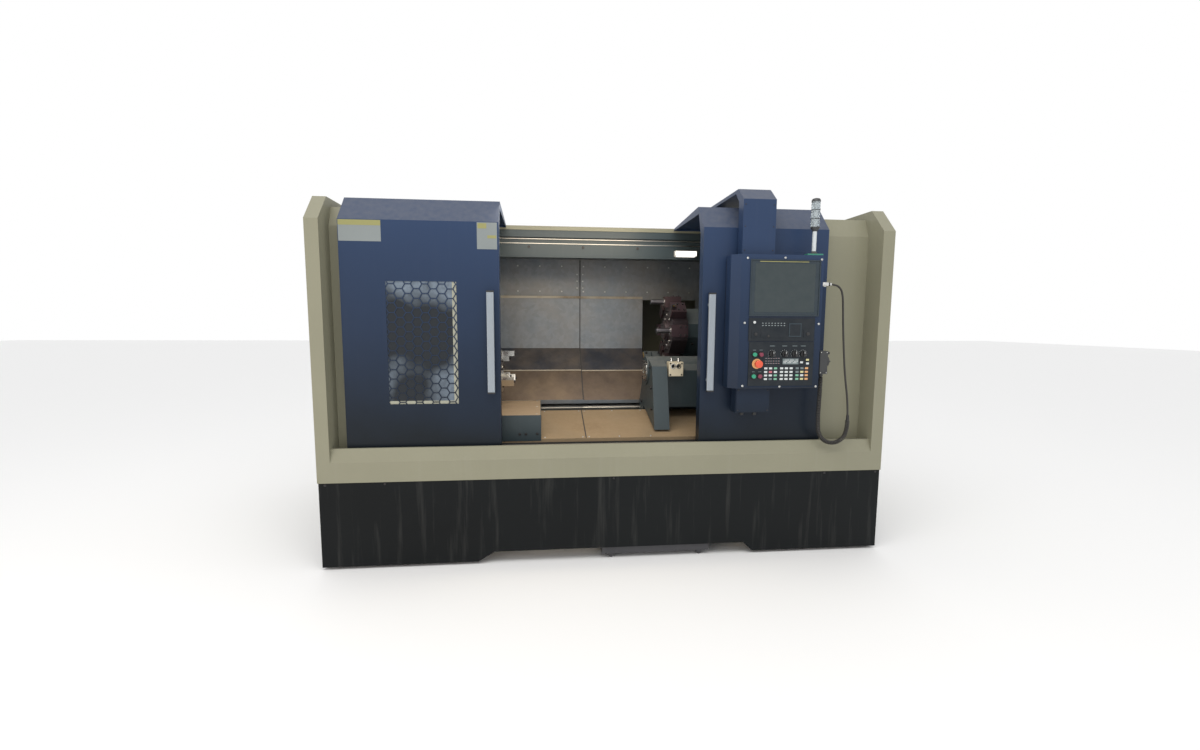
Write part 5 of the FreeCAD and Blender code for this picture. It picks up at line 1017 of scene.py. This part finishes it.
def tailstock_trim():
    """The nose ring and screws of the tailstock, and the fittings of its oil manifold."""
    nose = span("tailstock_casting")[0].x
    solid = Solid()
    solid.ring((nose, *SPINDLE_LINE), -RIGHTWARD, 46.5, 66, 5, "turned_steel", 64)
    ring_of_screws(solid, nose - 4.5, SPINDLE_LINE, 57, range(15, 360, 60), -RIGHTWARD, 5)
    ring_of_screws(solid, nose, SPINDLE_LINE, 78, range(45, 360, 90), -RIGHTWARD, 6)
    for y, z in ((400, 1000), (360, 880), (330, 760), (640, 760), (690, 620)):
        solid.socket_screw((270, y, z), -RIGHTWARD, 8, "bolt_black")
    solid.piece("tailstock_nose_ring", "tailstock", 0.5)
    fittings = Solid()
    block_low, block_high = span("tailstock_manifold")
    face = block_low.y
    port_height = SPINDLE_LINE[1] + 40
    for x in (block_low.x + 26, block_low.x + 58):
        fittings.ring((x, face, port_height), OUTWARD, 11.3, 15.5, 3, "turned_steel", 40)
        plug = [(0, 9), (12, 9), (14, 6)]
        fittings.turned((x, face + 20, port_height), OUTWARD, plug, "bolt_black", 6)
    for x in (block_low.x + 9, block_high.x - 9):
        for z in (block_low.z + 9, block_high.z - 9):
            fittings.socket_screw((x, face, z), OUTWARD, 4.5, "bolt_black")
    for x in (block_low.x + 22, block_high.x - 22):
        coupling = [(0, 11), (9, 11), (10, 8.5), (22, 8.5), (23, 7)]
        fittings.turned((x, face + 26, block_high.z), UPWARD, coupling, "turned_steel", 24)
    fittings.piece("manifold_fittings", "tailstock", 0.5)


# ---------------------------------------------------------------- console
CONSOLE_SCREWS = (
    (668, 1596), (867, 1600), (1063, 1594), (663, 1268), (1063, 1264), (662, 941), (863, 937), (1062, 936)
)


def console_face():
    """Seams and screws on the console's face."""
    face = span("console_housing")[0].y
    screws = Solid()
    for x, z in CONSOLE_SCREWS:
        screws.pan_screw((x, face, z), OUTWARD, 6, "bolt_zinc")
    screws.piece("console_screws", "machine")
    seams = Solid()
    for z in (1297, 1172.8):
        seams.block(684, 1040, face - 1.2, face, z, z + 2, "seal_rubber")
    seams.block(640, 1072, face - 0.6, face + 0.2, 929, 930.5, "seal_rubber")
    seams.block(595, 1075, 45, 48, 940, 1600, "seal_rubber")
    seams.piece("console_seams", "machine")


def screen_parts():
    """The dark screen, the line of light along its top, and the raised rim."""
    low, high = span("display_unit")
    face = low.y
    solid = Solid()
    glass = (low.x + 26, high.x - 26, face + 1.2, face + 2, low.z + 20, high.z - 20)
    solid.block(*glass, "screen_plastic")
    solid.block(low.x + 48, high.x - 64, face + 1.0, face + 1.8, high.z - 12, high.z - 8, "screen_line")
    for x0, x1, z0, z1 in rim(low, high, 5):
        solid.block(x0, x1, face - 1.5, face + 0.5, z0, z1, "bezel_plastic")
    solid.piece("screen_glass", "machine", 0.5)


KEY_ROWS = (1033, 1014, 996, 977)
KEY_COLUMNS = (783, 809, 836, 869, 895, 921, 954, 980, 1005)
KEY_COLOURS = (
    "white white green white white white grey grey orange",
    "white red white white white white grey yellow orange",
    "white white green white white white green white orange",
    "white grey green white white white green yellow orange",
)


def key_panel():
    """Membrane keys, display window, indicator rows and dial marks."""
    face = span("operator_panel")[0].y
    half = settings().key_width / 2
    keys = Solid()
    for z, colours in zip(KEY_ROWS, KEY_COLOURS):
        for x, colour in zip(KEY_COLUMNS, colours.split()):
            keys.block(x - half, x + half, face - 1.6, face, z - 5, z + 5, "key_" + colour)
    for x, z, colour in ((976, 1064, "key_white"), (1008, 1077, "key_yellow"), (1009, 1058, "key_white")):
        keys.block(x - 8, x + 8, face - 1.6, face, z - 5, z + 5, colour)
    keys.piece("membrane_keys", "machine", 0.5)
    marks = Solid()
    marks.block(873, 959, face - 1.0, face, 1054, 1084, "key_grey")
    for row, z in enumerate((1076, 1069, 1062)):
        for k in range(11):
            if (k + row) % 4:
                x = 878 + 7.2 * k
                marks.block(x, x + 5, face - 1.2, face - 1.0, z - 2, z + 2, "mark_white")
    for z in (1085, 1071, 1059):
        for x in spread(783, 852, 6):
            marks.block(x - 5, x + 5, face - 0.8, face, z - 1.8, z + 1.8, "key_grey")
            marks.block(x - 2, x + 1, face - 1.1, face - 0.8, z - 1, z + 1, "key_red")
    for x in (814, 881, 936, 982):
        for angle in range(-120, 121, 30):
            turn = math.radians(angle)
            dot = (x + 20.5 * math.sin(turn), face, 1108 + 20.5 * math.cos(turn))
            marks.turned(dot, OUTWARD, [(0, 1.3), (0.6, 1.2)], "mark_white", 8)
        marks.block(x - 13, x + 13, face - 0.6, face, 1148, 1151, "key_grey")
    for x, z in ((719, 1105), (754, 1105), (717, 992), (751, 992)):
        marks.block(x - 8, x + 8, face - 0.6, face, z + 22, z + 24.5, "key_grey")
    marks.piece("panel_marks", "machine")


def soft_key_panel():
    """The keys under the screen, the covered ports and the small buttons beside them."""
    face = span("operator_panel")[0].y
    solid = Solid()
    for row, z in enumerate((1267, 1255)):
        for x in spread(758, 874, 8):
            solid.block(x - 4, x + 4, face - 0.8, face, z - 2, z + 2, "key_grey")
            solid.turned((x + 2 * row, face - 0.8, z), OUTWARD, [(0, 1.4), (0.4, 1.2)], "mark_white", 8)
    solid.turned((714, face, 1271), OUTWARD, [(0, 7), (2, 7), (3, 5)], "mark_white", 24)
    solid.block(899, 967, face - 3, face, 1196, 1268, "bezel_plastic")
    solid.block(905, 961, face - 4, face - 3, 1203, 1261, "panel_plastic")
    for x0, x1 in ((700, 742), (750, 884), (980, 1022)):
        solid.block(x0, x1, face - 1.5, face, 1192, 1236, "panel_plastic")
    for x, z, radius in ((1004, 1212, 9), (722, 1210, 8), (790, 1200, 6)):
        profile = [(0, radius), (3, radius), (4, radius - 2)]
        solid.turned((x, face - 1.5, z), OUTWARD, profile, "knob_black", 24)
    solid.piece("soft_keys", "machine", 0.5)


def front_middle(node):
    """The middle of a control's front, looking along the panel's normal."""
    low, high = span(node)
    return Vector(((low.x + high.x) / 2, low.y, (low.z + high.z) / 2))


def control_trim():
    """Rings on the panel round the buttons, and the caps and pointers that move with them."""
    face = span("operator_panel")[0].y
    rings = Solid()
    stop_front = front_middle("emergency_stop")
    for number in range(1, 5):
        front = front_middle("push_button_%d" % number)
        rings.ring((front.x, face, front.z), OUTWARD, 11.6, 14.5, 4, "bolt_black", 40)
        colour = "button_green" if number % 2 else "button_maroon"
        cap = Solid()
        cap.turned(front, OUTWARD, [(0, 10.4), (1.2, 9.4), (2, 6)], colour, 32)
        cap.piece("button_%d_cap" % number, "button_%d" % number)
    rings.ring((stop_front.x, face, stop_front.z), OUTWARD, 12, 26, 2, "stop_ring", 48)
    rings.piece("button_rings", "machine", 0.4)
    for number in range(1, 5):
        x, y, z = front_middle("selector_knob_%d" % number)
        mark = Solid()
        mark.block(x - 1, x + 1, y - 0.4, y + 1, z + 2, z + 13, "mark_white")
        for k in range(20):
            angle = math.tau * k / 20
            rib = (x + 14.9 * math.sin(angle), y + 11, z + 14.9 * math.cos(angle))
            mark.turned(rib, -OUTWARD, [(0, 1), (9, 1)], "knob_black", 8)
        mark.piece("knob_%d_mark" % number, "knob_%d" % number)
    stop = Solid()
    dome = [(0, 15), (1.6, 14), (2.6, 9), (2.9, 3)]
    stop.turned(stop_front - OUTWARD * 2, OUTWARD, dome, "stop_red", 48)
    stop.piece("stop_cap", "stop_button")


def duct_trim():
    """Flanges and screws of the cable duct, and the lid and glands of the box below it."""
    low, high = span("cable_duct")
    solid = Solid()
    solid.block(low.x + 4, high.x - 4, 760, 840, 1863, 1866, "blue_paint")
    for x0, x1 in ((low.x - 8, low.x), (high.x, high.x + 8)):
        solid.block(x0, x1, 762, 838, 1863, 1866, "blue_paint")
    for x in (low.x + 18, high.x - 18):
        for y in (150, 420, 700):
            solid.pan_screw((x, y, high.z), UPWARD, 5, "bolt_black")
    for z in (1640, 1760, 1870):
        for x in (low.x + 12, high.x - 12):
            solid.pan_screw((x, low.y, z), OUTWARD, 3.2, "bolt_black")
    solid.piece("duct_flanges", "machine", 0.5)
    box_low, box_high = span("junction_box")
    lid = Solid()
    lid_face = box_low.y - 2.5
    lid.block(box_low.x + 4, box_high.x - 4, lid_face, box_low.y, box_low.z + 4, box_high.z - 3, "blue_paint")
    for x in (box_low.x + 12, box_high.x - 12):
        for z in (box_low.z + 12, box_high.z - 12):
            lid.pan_screw((x, lid_face, z), OUTWARD, 3.5, "bolt_black")
    cable_nut = [(0, 13), (5, 13), (6, 10), (18, 10), (20, 8)]
    for x in (box_low.x + 50, box_low.x + 120):
        lid.turned((x, 10, box_low.z), -UPWARD, cable_nut, "knob_black", 24)
    lid.piece("junction_box_lid", "machine", 0.8)


LENS_LENGTH = 130.0


def lamp_parts():
    """The stack lamp: a foot, a pole, a ribbed clear lens and a dark cap."""
    low, high = span("signal_lamp")
    foot = Vector(((low.x + high.x) / 2, -35.0, low.z))
    solid = Solid()
    solid.block(low.x, high.x, -55, -15, low.z, low.z + 8, "lamp_base")
    for rise, profile, colour, sides in (
        (8, [(0, 17), (6, 17), (9, 12), (14, 11)], "lamp_cap", 32),
        (8, [(12, 10.5), (118, 10.5)], "lamp_tube", 32),
        (122, [(0, 11), (6, 15), (18, 22.5), (22, 22.5)], "lamp_cap", 48),
        (144, [(0, 9), (128, 9)], "mark_white", 24),
        (272, [(0, 22.5), (8, 22), (14, 18), (17, 8)], "lamp_cap", 48),
    ):
        solid.turned(foot + UPWARD * rise, UPWARD, profile, colour, sides)
    lamp = solid.piece("signal_lamp_body", "machine", 0.6)
    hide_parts("signal_lamp")
    lens = Solid()
    profile = []
    step = LENS_LENGTH / settings().lens_ribs
    for k in range(settings().lens_ribs):
        profile += [(step * k, 20.6), (step * (k + 0.5), 22.6)]
    profile.append((LENS_LENGTH, 20.6))
    lens.turned(foot + UPWARD * 143, UPWARD, profile, "lamp_lens", 48)
    for rise in (184, 228):
        lens.ring(foot + UPWARD * rise, UPWARD, 20, 23, 3, "lamp_cap", 48)
    lens.piece("signal_lamp_lens", "machine")


def work_light_parts():
    """The glowing face and underside of the bar light, and its end screws."""
    low, high = span("work_light")
    solid = Solid()
    solid.block(low.x + 8, high.x - 8, low.y + 4, low.y + 32, low.z - 2, low.z, "light_glow")
    solid.block(low.x + 3, high.x - 3, low.y - 2, low.y, low.z + 4, high.z - 4, "light_glow")
    for x in (low.x + 6, high.x - 6):
        solid.pan_screw((x, low.y + 18, low.z), -UPWARD, 3, "bolt_black")
    solid.piece("work_light_lens", "machine", 0.4)


# ---------------------------------------------------------------- pendant and cord
GLAND_END = (1146.0, -12.0, 1472.0)
COIL_TOP = (1273.0, -24.0, 752.0)
COIL_END = (1110.0, -19.0, 985.0)
CABLE_DIAMETER = 10.0
COIL_DIAMETER = 24.0
COIL_WIRE = 7.0
CABLE_ROUTE = [
    GLAND_END,
    (1178, -12, 1469), (1204, -13, 1448), (1214, -14, 1412), (1218, -15, 1362), (1222, -17, 1270),
    (1232, -20, 1130), (1246, -22, 985), (1271, -23, 840),
    COIL_TOP,
]
COIL_ROUTE = [
    COIL_TOP,
    (1273, -25, 670), (1225, -25, 622), (1157, -24, 622), (1109, -23, 670),
    (1106, -20, 760), (1108, -20, 850), (1110, -19, 925),
    COIL_END,
]


def spline_curve(name, points):
    """A curve of one open, smooth spline beside points given in metres."""
    data = bpy.data.curves.new(name, "CURVE")
    data.dimensions = "3D"
    spline = data.splines.new("NURBS")
    spline.points.add(len(points) - 1)
    for item, point in zip(spline.points, points):
        item.co = (*point, 1.0)
    spline.order_u = 3
    spline.use_endpoint_u = True
    made = bpy.data.objects.new(name, data)
    bpy.context.scene.collection.objects.link(made)
    return made


def walk(curve, steps):
    """Evenly spaced points along a curve, and the way it runs at each."""
    depsgraph = bpy.context.evaluated_depsgraph_get()
    mesh = curve.evaluated_get(depsgraph).to_mesh()
    line = [vert.co.copy() for vert in mesh.vertices]
    lengths = [0.0]
    for a, b in zip(line, line[1:]):
        lengths.append(lengths[-1] + (b - a).length)
    result = []
    index = 0
    for step in range(steps + 1):
        want = lengths[-1] * step / steps
        while index < len(line) - 2 and lengths[index + 1] < want:
            index += 1
        share = (want - lengths[index]) / max(lengths[index + 1] - lengths[index], 1e-9)
        along = (line[index + 1] - line[index]).normalized()
        result.append((line[index].lerp(line[index + 1], share), along))
    return result, lengths[-1]


def thicken(curve, diameter, rounding, stands_for):
    """Gives a curve its thickness and finish in place of a CAD cord, and returns its length."""
    length = walk(curve, 1)[1]
    curve.data.bevel_depth = diameter / 2 * MM
    curve.data.bevel_resolution = rounding
    curve.data.use_fill_caps = True
    curve.data.materials.append(finish("cable_rubber"))
    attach(curve, "machine")
    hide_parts(stands_for)
    return length


def pendant_cable():
    """The plain length of cord, from its gland down to the joiner."""
    cable = spline_curve("pendant_cable", [at(*p) for p in CABLE_ROUTE])
    cable.data.resolution_u = 12
    length = thicken(cable, CABLE_DIAMETER, 5, "pendant_cord")


def pendant_curl():
    """The curly length of cord, wound round the line of its route."""
    route = spline_curve("curl_line", [at(*p) for p in COIL_ROUTE])
    route.data.resolution_u = 24
    per_turn = 16
    steps = settings().curl_turns * per_turn
    line = walk(route, steps)[0]
    bpy.data.objects.remove(route)
    radius = (COIL_DIAMETER - COIL_WIRE) / 2 * MM
    side = line[0][1].orthogonal().normalized()
    points = []
    for step, (centre, along) in enumerate(line):
        side = (side - along * side.dot(along)).normalized()
        other = along.cross(side)
        angle = math.tau * step / per_turn
        reach = radius * min(1.0, step / per_turn, (steps - step) / per_turn)
        points.append(centre + (side * math.cos(angle) + other * math.sin(angle)) * reach)
    curl = spline_curve("pendant_curly_cord", points)
    curl.data.resolution_u = 2
    length = thicken(curl, COIL_WIRE, 3, "pendant_coil")
    joiner = Solid()
    sleeve_top = Vector(COIL_TOP) + UPWARD * 22
    joiner.turned(sleeve_top, -UPWARD, [(0, 6), (4, 7.2), (24, 7.6), (40, 6)], "seal_rubber", 24)
    sleeve = joiner.piece("cord_joiner", "machine")


def gland_parts():
    """The nuts and the rubber sleeve of the cable gland on the console's side."""
    left = span("cable_gland")[0].x
    y, z = GLAND_END[1:]
    solid = Solid()
    solid.ring((left, y, z), RIGHTWARD, 17, 20, 2, "seal_rubber", 32)
    nut = [(0, 11.6), (1, 13.4), (16, 13.4), (18, 11.6)]
    solid.turned((left + 26, y, z), RIGHTWARD, nut, "gland_metal", 6)
    sleeve = [(0, 9.4), (8, 9.2), (17, 7.0), (18.6, 5.6)]
    solid.turned((left + 52, y, z), RIGHTWARD, sleeve, "seal_rubber", 24)
    solid.piece("gland_nuts", "machine", 0.4)


PENDANT_FACE = 1130.0
WHEEL_LINE = (-19.0, 1066.0)
DIAL_MARKS = 50
DIAL_EDGE = 25.6


def pendant_parts():
    """Selectors, stop button and screws of the pendant, and the dial marks of its handwheel."""
    y, z = WHEEL_LINE
    face = PENDANT_FACE
    solid = Solid()
    solid.ring((face - 0.2, y, z), RIGHTWARD, 26.6, 30, 3, "pendant_plastic", 64)
    for knob_y in (y - 17, y + 17):
        solid.turned((face, knob_y, z + 44), RIGHTWARD, [(0, 9), (3, 9), (4, 7.5), (12, 7)], "knob_black", 24)
        solid.block(face + 12, face + 13, knob_y - 0.8, knob_y + 0.8, z + 40, z + 50, "mark_white")
    solid.turned((face, y, z - 50), RIGHTWARD, [(0, 7), (4, 7), (5, 5)], "stop_red", 24)
    solid.block(1084, face, -50.8, -50, 1006, 1009, "knob_black")
    for x in (1091, 1123):
        for screw_z in (1007, 1115):
            solid.pan_screw((x, -50, screw_z), OUTWARD, 3, "bolt_zinc")
    solid.piece("pendant_controls", "machine", 0.4)
    wheel = Solid()
    wheel_left = span("pendant_handwheel")[0].x
    for k in range(DIAL_MARKS):
        angle = 360 * k / DIAL_MARKS
        near = 22.5 if k % 5 else 20.5
        start = around(wheel_left + 30.6, WHEEL_LINE, near, angle)
        wheel.turned(start, across_from(angle)[0], [(0, 0.35), (DIAL_EDGE - near, 0.35)], "mark_white", 4)
    wheel.turned((wheel_left + 27, y, z), RIGHTWARD, [(0, 8), (3, 8), (4, 6)], "pendant_plastic", 24)
    wheel.piece("handwheel_dial", "handwheel")


# ---------------------------------------------------------------- finishes of the frame
# Nodes whose finish isn't the one that their slot names.
NODE_FINISHES = {
    "display_unit": "bezel_plastic",
    "operator_panel": "panel_plastic",
    "push_button_1": "button_green",
    "push_button_3": "button_green",
    "push_button_2": "button_maroon",
    "push_button_4": "button_maroon",
    "roof_panels": "beige_paint",
    "turret_disc": "turret_steel",
    "signal_lamp": "lamp_tube",
}


def paint_frame():
    """Gives every node of the frame its finish."""
    slots = {part["node"]: part["material_slot"] for part in frame["record"]["subparts"]}
    for node, node_object in frame["nodes"].items():
        material = finish(NODE_FINISHES.get(node, slots[node]))
        if not node_object.material_slots:
            node_object.data.materials.append(material)
        for slot in node_object.material_slots:
            slot.material = material


# ---------------------------------------------------------------- stage
# The camera's turns are in radians: to the right, down, and about its own line.
CAMERA_PLACE = (-385.0, -2712.3, 1277.3)
CAMERA_TURN = 0.1016
CAMERA_DIP = 0.1077
CAMERA_ROLL = 0.0047
CAMERA_LENS = 15.93
CAMERA_SHIFT = (0.005, 0.0023)
FLOOR_HALF = 30.0


def make_camera():
    data = bpy.data.cameras.new("Viewpoint")
    data.lens = CAMERA_LENS
    data.sensor_width = 36.0
    data.shift_x, data.shift_y = CAMERA_SHIFT
    data.clip_start = 0.05
    data.clip_end = 200.0
    made = bpy.data.objects.new("Viewpoint", data)
    bpy.context.scene.collection.objects.link(made)
    flat = math.cos(CAMERA_DIP)
    ahead = Vector((math.sin(CAMERA_TURN) * flat, math.cos(CAMERA_TURN) * flat, -math.sin(CAMERA_DIP)))
    made.rotation_mode = "QUATERNION"
    made.rotation_quaternion = ahead.to_track_quat("-Z", "Y") @ Quaternion((0, 0, 1), CAMERA_ROLL)
    made.location = at(*CAMERA_PLACE)
    bpy.context.scene.camera = made


def make_floor():
    half = FLOOR_HALF
    data = bpy.data.meshes.new("Floor")
    corners = [(-half, -half, 0), (half, -half, 0), (half, half, 0), (-half, half, 0)]
    data.from_pydata(corners, [], [(0, 1, 2, 3)])
    floor = bpy.data.objects.new("Floor", data)
    material = bpy.data.materials.new("Pale floor")
    material.use_nodes = True
    shader = material.node_tree.nodes["Principled BSDF"]
    shader.inputs["Base Color"].default_value = (0.93, 0.93, 0.93, 1)
    shader.inputs["Roughness"].default_value = 0.7
    data.materials.append(material)
    bpy.context.scene.collection.objects.link(floor)


def make_world(level):
    """Even white light, which the camera itself sees at full strength."""
    world = bpy.data.worlds.new("Studio")
    world.use_nodes = True
    tree = world.node_tree
    background = tree.nodes["Background"]
    seen = add_node(tree, "LightPath").outputs["Is Camera Ray"]
    strength = add_node(tree, "MapRange", {"Value": seen, "To Min": level, "To Max": 1.0})
    background.inputs["Color"].default_value = (1.0, 1.0, 1.0, 1)
    tree.links.new(strength.outputs["Result"], background.inputs["Strength"])
    bpy.context.scene.world = world


# Each light's name, place and target in metres, size, power in watts and colour.
LIGHTS = (
    ("Ceiling front", (-0.6, -3.0, 4.6), (0, -0.6, 1.2), (5.0, 2.0), 90, (1.0, 0.98, 0.95)),
    ("Left low fill", (-3.6, -3.4, 0.9), (-1.2, -0.8, 0.3), (1.0, 0.8), 16, (1.0, 0.86, 0.74)),
    ("Chamber glow", (-0.15, -0.52, 1.86), (-0.25, -0.1, 0.7), (0.9, 0.3), 4.5, (1.0, 0.84, 0.62)),
)


def area_light(name, place, target, size, power, colour):
    data = bpy.data.lights.new(name, "AREA")
    data.shape = "RECTANGLE"
    data.size, data.size_y = size
    data.energy = power
    data.color = colour
    made = bpy.data.objects.new(name, data)
    made.location = place
    made.rotation_mode = "QUATERNION"
    made.rotation_quaternion = (Vector(target) - Vector(place)).to_track_quat("-Z", "Y")
    made.visible_camera = False
    bpy.context.scene.collection.objects.link(made)


def make_stage():
    """The camera, the floor and the studio's lights."""
    bpy.context.scene.view_settings.view_transform = "Standard"
    make_camera()
    make_floor()
    make_world(settings().sky_level)
    for light in LIGHTS:
        area_light(*light)


# ---------------------------------------------------------------- settings
class LatheSizes(bpy.types.PropertyGroup):
    screw_radius: FloatProperty(
        name="Screw Radius", description="Radius of the cover screws' heads, in mm", default=6.0, min=2.0
    )
    handle_ribs: IntProperty(
        name="Handle Ribs", description="Ribs down each door handle", default=5, min=2
    )
    key_width: FloatProperty(
        name="Key Width", description="Width of the membrane keys, in mm", default=17.0, min=5.0
    )
    lens_ribs: IntProperty(
        name="Lens Ribs", description="Ribs round the lamp lens", default=16, min=3
    )
    curl_turns: IntProperty(
        name="Curl Turns", description="Turns in the curly cord", default=66, min=10
    )
    sky_level: FloatProperty(
        name="Sky Level", description="Strength of the even studio light", default=0.92, min=0.0
    )


def colour_setting(name, description, default):
    return FloatVectorProperty(
        name=name, description=description, default=default, size=3, subtype="COLOR", min=0.0, max=1.0
    )


class LatheColours(bpy.types.PropertyGroup):
    beige: colour_setting("Beige", "End covers, sill and fixed front panels", (0.255, 0.247, 0.176))
    charcoal: colour_setting("Charcoal", "Skirt round the base", (0.0055, 0.0068, 0.0075))
    blue: colour_setting("Blue", "Doors, console and cable duct", (0.026, 0.048, 0.105))
    casting: colour_setting("Casting Green", "Castings, rail beam and chuck guard", (0.036, 0.053, 0.060))
    zinc: colour_setting("Zinc", "Lining of the chamber", (0.205, 0.228, 0.250))
    panel: colour_setting("Panel", "Faces of the control units", (0.007, 0.012, 0.018))


# ---------------------------------------------------------------- operators
def make_operator(idname, label, text, builders):
    """An operator class that runs some of the builders above in turn."""

    def execute(self, context):
        for builder in builders:
            builder()
        return {"FINISHED"}

    return type(
        "LATHE_OT_" + idname,
        (bpy.types.Operator,),
        {
            "__doc__": text,
            "bl_idname": "lathe." + idname,
            "bl_label": label,
            "bl_options": {"REGISTER", "UNDO"},
            "execute": execute,
        },
    )


def both_doors():
    for body, lead_side in (("left_door", 1), ("right_door", -1)):
        door_trim(body, lead_side)


def both_handles():
    for body in ("left_door", "right_door"):
        handle_trim(body)


OPERATORS = (
    make_operator("finish_frame", "Finish Frame", "Give every frame part its finish", (paint_frame,)),
    make_operator("add_guard_fittings", "Guard Fittings", "Screws, seals and hatches of the guard",
                  (skirt_screws, rear_fittings, sill_fittings, beam_fittings)),
    make_operator("add_door_trim", "Door Trim", "Folds, handles, window and plates of the doors",
                  (both_doors, both_handles, door_labels, window_frame)),
    make_operator("add_chamber_fittings", "Chamber Fittings", "Seams and screws of the lining and chute",
                  (chamber_fittings, chute_fittings)),
    make_operator("add_machine_trim", "Machine Trim", "Details of the spindle, turret, slides and tailstock",
                  (spindle_trim, turret_trim, slide_trim, tailstock_trim)),
    make_operator("add_console", "Console", "Screen, keys, buttons, duct and lamp",
                  (console_face, screen_parts, key_panel, soft_key_panel, control_trim, duct_trim, lamp_parts,
                   work_light_parts)),
    make_operator("add_pendant", "Pendant", "Gland, cords and handwheel pendant",
                  (gland_parts, pendant_cable, pendant_curl, pendant_parts)),
    make_operator("set_stage", "Stage", "Camera, floor and studio light", (make_stage,)),
)


class LATHE_PT_panel(bpy.types.Panel):
    bl_label = "Turning Lathe"
    bl_idname = "LATHE_PT_panel"
    bl_space_type = "VIEW_3D"
    bl_region_type = "UI"
    bl_category = "Lathe"

    def draw(self, context):
        column = self.layout.column()
        for group in (context.scene.lathe_sizes, context.scene.lathe_colours):
            for key in group.__annotations__:
                column.prop(group, key)
        for operator in OPERATORS:
            column.operator(operator.bl_idname)


CLASSES = (LatheSizes, LatheColours, *OPERATORS, LATHE_PT_panel)


def register():
    for item in CLASSES:
        bpy.utils.register_class(item)
    bpy.types.Scene.lathe_sizes = PointerProperty(type=LatheSizes)
    bpy.types.Scene.lathe_colours = PointerProperty(type=LatheColours)


def unregister():
    del bpy.types.Scene.lathe_colours
    del bpy.types.Scene.lathe_sizes
    for item in reversed(CLASSES):
        bpy.utils.unregister_class(item)


def main():
    register()
    for operator in OPERATORS:
        getattr(bpy.ops.lathe, operator.bl_idname.split(".")[1])()


if __name__ == "__main__":
    main()
